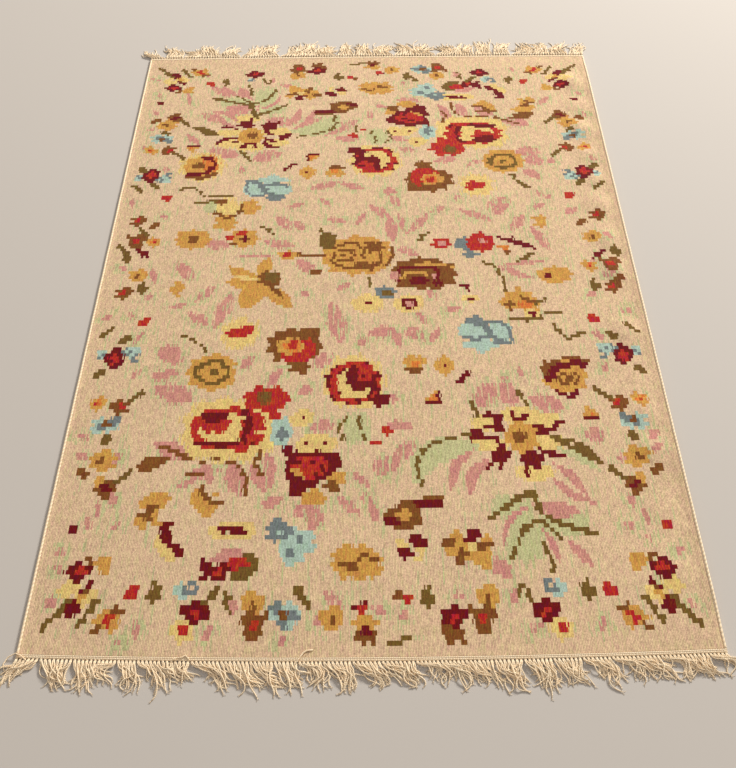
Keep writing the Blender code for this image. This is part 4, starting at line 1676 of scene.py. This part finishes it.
class Socket:
    """A node's output that takes part in Python expressions on values."""

    def __init__(self, tree: NodeSet, out: bpy.types.NodeSocket) -> None:
        """Wrap an output of a material's nodes."""
        self.tree = tree
        self.out = out

    def _math(self, operation: str, first: Value, second: Value) -> Socket:
        """Return a Math node's result on two values."""
        return self.tree.add("ShaderNodeMath", {"operation": operation}, {0: first, 1: second})

    def __add__(self, other: Value) -> Socket:
        """Return the sum."""
        return self._math("ADD", self, other)

    def __radd__(self, other: Value) -> Socket:
        """Return the sum."""
        return self._math("ADD", other, self)

    def __sub__(self, other: Value) -> Socket:
        """Return the difference."""
        return self._math("SUBTRACT", self, other)

    def __rsub__(self, other: Value) -> Socket:
        """Return the difference from a number."""
        return self._math("SUBTRACT", other, self)

    def __mul__(self, other: Value) -> Socket:
        """Return the product."""
        return self._math("MULTIPLY", self, other)

    def __rmul__(self, other: Value) -> Socket:
        """Return the product."""
        return self._math("MULTIPLY", other, self)


class NodeSet:
    """A material's node tree, and the one method that adds to it."""

    def __init__(self, name: str) -> None:
        """Make a material with a bare Principled shader.

        Args:
            name: The material's name.
        """
        self.material = bpy.data.materials.new(name)
        self.material.use_nodes = True
        self.tree = self.material.node_tree
        self.shader = self.tree.nodes["Principled BSDF"]

    def add(self, kind: str, settings: dict, values: dict, output: int | str = 0) -> Socket:
        """Add a node.

        Args:
            kind: The node's type.
            settings: Its settings, set before its sockets.
            values: A value or a link for each socket, by name or number.
            output: Which output is wanted.

        Returns:
            The wanted output.
        """
        node = self.tree.nodes.new(kind)
        for key, value in settings.items():
            setattr(node, key, value)
        for key, value in values.items():
            self.feed(node.inputs[key], value)
        return Socket(self, node.outputs[output])

    def feed(self, socket: bpy.types.NodeSocket, value: Value) -> None:
        """Set a socket to a number or colour, or link it to another node's output."""
        if isinstance(value, Socket):
            self.tree.links.new(value.out, socket)
        else:
            socket.default_value = value

    def vector(self, operation: str, first: Value, second: Value, output: str = "Vector") -> Socket:
        """Return a Vector Math node's result on two values."""
        return self.add("ShaderNodeVectorMath", {"operation": operation}, {0: first, 1: second}, output)

    def mix(self, factor: Value, first: Value, second: Value) -> Socket:
        """Return a mix of two colours."""
        settings = {"data_type": "RGBA", "clamp_factor": True}
        return self.add("ShaderNodeMix", settings, {0: factor, 6: first, 7: second}, 2)

    def shade(self, constants: dict, links: dict) -> bpy.types.Material:
        """Set the shader's sockets and return the material.

        Args:
            constants: Numbers and colours that are the same all over.
            links: What changes over the surface.

        Returns:
            The finished material.
        """
        for key, value in {**constants, **links}.items():
            self.feed(self.shader.inputs[key], value)
        return self.material


@dataclass(frozen=True)
class Grain:
    """Noise in the wool: turns a metre across, along and upward, detail, and weight in the tone."""

    turns: tuple[float, float, float]
    detail: float
    weight: float = 0.0


@dataclass(frozen=True)
class WeaveFinish:
    """Matte ribbed wool: the yarns' colours, flecked as hand-spun wool is, over the ribs of the warp, with a
    painted highlight in a band along each side cord.
    """

    name: str = "wool_weave"
    rib_width: float = 2 * CLOTH.panel_half / (COLUMNS * RIBS_A_CELL)
    weft_pitch: float = 0.0011
    rib_depth: float = 0.0005
    roughness: float = 0.92
    base: float = -0.04
    streak: Grain = Grain((1 / rib_width, 62.0, 40.0), 1.0, 0.40)
    weft: Grain = Grain((1 / 0.0025, 1 / 0.0036, 300.0), 2.0, 1.24)
    fluff: Grain = Grain((1 / 0.0062, 1 / 0.0110, 90.0), 1.0, 0.42)
    cloud: Grain = Grain((7.0, 5.0, 7.0), 1.5, 0.12)
    haze: Grain = Grain((0.6 / rib_width, 34.0, 40.0), 1.0)
    haze_from: float = 0.50
    haze_rise: float = 6.0
    haze_tint: tuple[float, float, float] = (0.92, 1.0, 0.89)
    # Painted highlight: a brighter band beside each side cord, as if the raised edge caught the light.
    edge_highlight_from: float = 0.587
    edge_highlight_rise: float = 250.0
    edge_highlight_weight: float = 0.12
    hue_from: float = 0.455
    hue_range: float = 0.09
    bump_strength: float = 0.55
    rib_bump: float = 0.7
    row_bump: float = 0.25
    weft_bump: float = 0.35
    streak_bump: float = 0.2

    def build(self) -> bpy.types.Material:
        """Return the wool's material."""
        nodes = NodeSet(self.name)
        place = nodes.add("ShaderNodeTexCoord", {}, {}, "Object")
        yarn = nodes.add("ShaderNodeAttribute", {"attribute_name": "yarn"}, {}, "Color")
        streak = self.noise(nodes, place, self.streak)
        weft = self.noise(nodes, place, self.weft)
        fluff = self.noise(nodes, place, self.fluff)
        cloud = self.noise(nodes, place, self.cloud)
        across = nodes.vector("DOT_PRODUCT", place, (1, 0, 0), "Value")
        aside = nodes.add("ShaderNodeMath", {"operation": "ABSOLUTE"}, {0: across})
        # Painted highlight: the wool is brightened close to the side cords, as if the raised edge caught the
        # light.
        near_cord = (aside - self.edge_highlight_from) * self.edge_highlight_rise
        edge_highlight = nodes.add("ShaderNodeClamp", {}, {0: near_cord})
        bright = (
            self.base + streak * self.streak.weight + weft * self.weft.weight + fluff * self.fluff.weight
            + cloud * self.cloud.weight + edge_highlight * self.edge_highlight_weight
        )
        shaded = nodes.add("ShaderNodeVectorMath", {"operation": "SCALE"}, {0: yarn, 3: bright}, "Vector")
        haze = self.noise(nodes, place, self.haze)
        share = nodes.add("ShaderNodeClamp", {}, {0: (haze - self.haze_from) * self.haze_rise})
        green = nodes.vector("MULTIPLY", shaded, self.haze_tint)
        tinted = nodes.mix(share, shaded, green)
        hue = self.hue_from + streak * self.hue_range
        tint = nodes.add("ShaderNodeHueSaturation", {}, {"Hue": hue, "Color": tinted})
        rib = self.wave(nodes, place, (1 / self.rib_width, 0, 0))
        row = self.wave(nodes, place, (0.5 / self.rib_width, 1 / self.weft_pitch, 0))
        height = (
            rib * self.rib_bump + row * self.row_bump + weft * self.weft_bump + streak * self.streak_bump
        )
        relief = {"Strength": self.bump_strength, "Distance": self.rib_depth, "Height": height}
        bump = nodes.add("ShaderNodeBump", {}, relief, "Normal")
        constants = {"Roughness": self.roughness, "Specular IOR Level": 0.1, "Sheen Weight": 0.05}
        return nodes.shade(constants, {"Base Color": tint, "Normal": bump})

    def noise(self, nodes: NodeSet, place: Socket, grain: Grain) -> Socket:
        """Return a grain's noise over the place."""
        stretched = nodes.vector("MULTIPLY", place, grain.turns)
        values = {"Vector": stretched, "Scale": 1.0, "Detail": grain.detail}
        return nodes.add("ShaderNodeTexNoise", {}, values)

    def wave(self, nodes: NodeSet, place: Socket, turns: tuple) -> Socket:
        """Return a wave from -1 to 1 that makes the given turns a metre."""
        steps = tuple(2 * math.pi * turn for turn in turns)
        angle = nodes.vector("DOT_PRODUCT", place, steps, "Value")
        return nodes.add("ShaderNodeMath", {"operation": "COSINE"}, {0: angle})


@dataclass(frozen=True)
class TwistFinish:
    """Matte twisted yarn: plies that wind round it, with painted shade in the grooves between them, and
    soiled and paler stretches.
    """

    name: str
    pale: Dye
    deep: Dye
    ply_pitch: float
    depth: float
    roughness: float = 0.88
    fleck_scale: float = 90.0
    fleck_detail: float = 3.0
    fleck_weight: float = 0.9
    ply_shade_weight: float = 0.30
    base: float = 0.15
    bump_strength: float = 0.6

    def build(self) -> bpy.types.Material:
        """Return the yarn's material."""
        nodes = NodeSet(self.name)
        lay = nodes.add("ShaderNodeAttribute", {"attribute_name": "lay"}, {}, "Vector")
        split = nodes.add("ShaderNodeSeparateXYZ", {}, {0: lay})
        parts = split.out.node.outputs
        along = Socket(nodes, parts[0]) * (2 * math.pi / self.ply_pitch)
        sine = nodes.add("ShaderNodeMath", {"operation": "SINE"}, {0: along})
        cosine = nodes.add("ShaderNodeMath", {"operation": "COSINE"}, {0: along})
        plies = sine * Socket(nodes, parts[1]) + cosine * Socket(nodes, parts[2])
        place = nodes.add("ShaderNodeTexCoord", {}, {}, "Object")
        grain = {"Vector": place, "Scale": self.fleck_scale, "Detail": self.fleck_detail}
        fleck = nodes.add("ShaderNodeTexNoise", {}, grain)
        # Painted shade: the colour goes deep in the grooves between the plies, where the relief is low, and
        # pale on their ridges.
        tone = fleck * self.fleck_weight + plies * self.ply_shade_weight + self.base
        colour = nodes.mix(tone, self.deep.linear(), self.pale.linear())
        relief = {"Strength": self.bump_strength, "Distance": self.depth, "Height": plies}
        bump = nodes.add("ShaderNodeBump", {}, relief, "Normal")
        constants = {"Roughness": self.roughness, "Specular IOR Level": 0.2, "Sheen Weight": 0.15}
        return nodes.shade(constants, {"Base Color": colour, "Normal": bump})


@dataclass(frozen=True)
class Studio:
    """Plain pale floor, soft light and a camera at the photograph's angle."""

    lens: float = 51.38
    sensor: float = 36.0
    camera_place: tuple[float, float, float] = (0.0032, -1.7823, 1.6893)
    pitch: float = 48.68
    yaw: float = 0.22
    roll: float = -0.65
    floor_half: float = 4.0
    key_place: tuple[float, float, float] = (4.8, 6.8, 3.9)
    key_size: float = 1.6
    key_power: float = 1230.0
    key_tint: tuple[float, float, float] = (1.0, 0.945, 0.88)
    sky: Dye = Dye(240, 230, 222)
    sky_strength: float = 0.56
    floor_dye: Dye = Dye(196, 192, 186)

    def build_floor(self) -> bpy.types.Object:
        """Return the floor's object."""
        bpy.ops.object.select_all(action="DESELECT")
        bpy.ops.mesh.primitive_plane_add(size=2 * self.floor_half, location=(0, 0, 0))
        floor = bpy.context.object
        floor.name = "floor"
        nodes = NodeSet("pale_floor")
        constants = {"Base Color": self.floor_dye.linear(), "Roughness": 0.9}
        floor.data.materials.append(nodes.shade(constants, {}))
        return floor

    def light(self) -> None:
        """Set a soft light beyond the rug's far right-hand corner, and an even sky."""
        lamp = bpy.data.lights.new("key", "AREA")
        lamp.shape = "SQUARE"
        lamp.size = self.key_size
        lamp.energy = self.key_power
        lamp.color = self.key_tint
        holder = bpy.data.objects.new("key", lamp)
        holder.location = self.key_place
        holder.rotation_euler = (-Vector(self.key_place)).to_track_quat("-Z", "Y").to_euler()
        bpy.context.scene.collection.objects.link(holder)
        world = bpy.data.worlds.new("studio")
        world.use_nodes = True
        ground = world.node_tree.nodes["Background"]
        ground.inputs[0].default_value = self.sky.linear()
        ground.inputs[1].default_value = self.sky_strength
        bpy.context.scene.world = world
        bpy.context.scene.view_settings.view_transform = "Standard"

    def aim_camera(self) -> None:
        """Place the camera where the photograph was taken from."""
        lens = bpy.data.cameras.new("camera")
        lens.lens = self.lens
        lens.sensor_width = self.sensor
        lens.sensor_fit = "AUTO"
        camera = bpy.data.objects.new("camera", lens)
        camera.location = self.camera_place
        camera.rotation_mode = "QUATERNION"
        camera.rotation_quaternion = self.camera_turn()
        bpy.context.scene.collection.objects.link(camera)
        bpy.context.scene.camera = camera

    def camera_turn(self) -> Quaternion:
        """Return the camera's turn: tipped about X, swung about Z, then rolled about its own view."""
        swing = Quaternion((0, 0, 1), math.radians(self.yaw))
        tip = Quaternion((1, 0, 0), math.radians(90 - self.pitch))
        roll = Quaternion((0, 0, 1), math.radians(self.roll))
        return swing @ tip @ roll


CORD_FINISH = TwistFinish(
    "side_cord", pale=Dye(255, 238, 206), deep=Dye(228, 202, 164), ply_pitch=0.0088, depth=0.0006
)
COTTON_FINISH = TwistFinish(
    "cotton_fringe", pale=Dye(255, 242, 213), deep=Dye(250, 218, 176), ply_pitch=0.0030, depth=0.0004
)


def main() -> None:
    """Load the frame, weave, bind and knot the rug, and set it in the studio."""
    logging.basicConfig(level=logging.INFO, format="%(message)s")
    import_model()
    studio = Studio()
    studio.aim_camera()
    studio.light()
    wool = WeaveFinish().build()
    cord_wool = CORD_FINISH.build()
    cotton = COTTON_FINISH.build()

    panel = WovenPanel(work_chart()).build(wool)
    pieces = [(panel, "woven_panel", "wool_weave")]
    for side, word in ((-1, "left"), (1, "right")):
        cord = SideCord(f"overcast_cord_{word}", side).build(cord_wool)
        pieces.append((cord, f"side_cord_{word}", "side_cord"))
    near = Fringe("knotted_fringe_near", -1, NEAR_BUNCHES, NEAR_STRAYS).build(cotton)
    far = Fringe("knotted_fringe_far", 1, FAR_BUNCHES, draw_in=0.85, unruly=0.7).build(cotton)
    pieces.append((near, "fringe_near", "cotton_fringe"))
    pieces.append((far, "fringe_far", "cotton_fringe"))
    for piece, node, slot in pieces:
        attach(piece, BODY)
        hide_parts(node)
        triangles = sum(len(face.vertices) - 2 for face in piece.data.polygons)
        LOG.info("%s: %d triangles", piece.name, triangles)
    studio.build_floor()


if __name__ == "__main__":
    main()
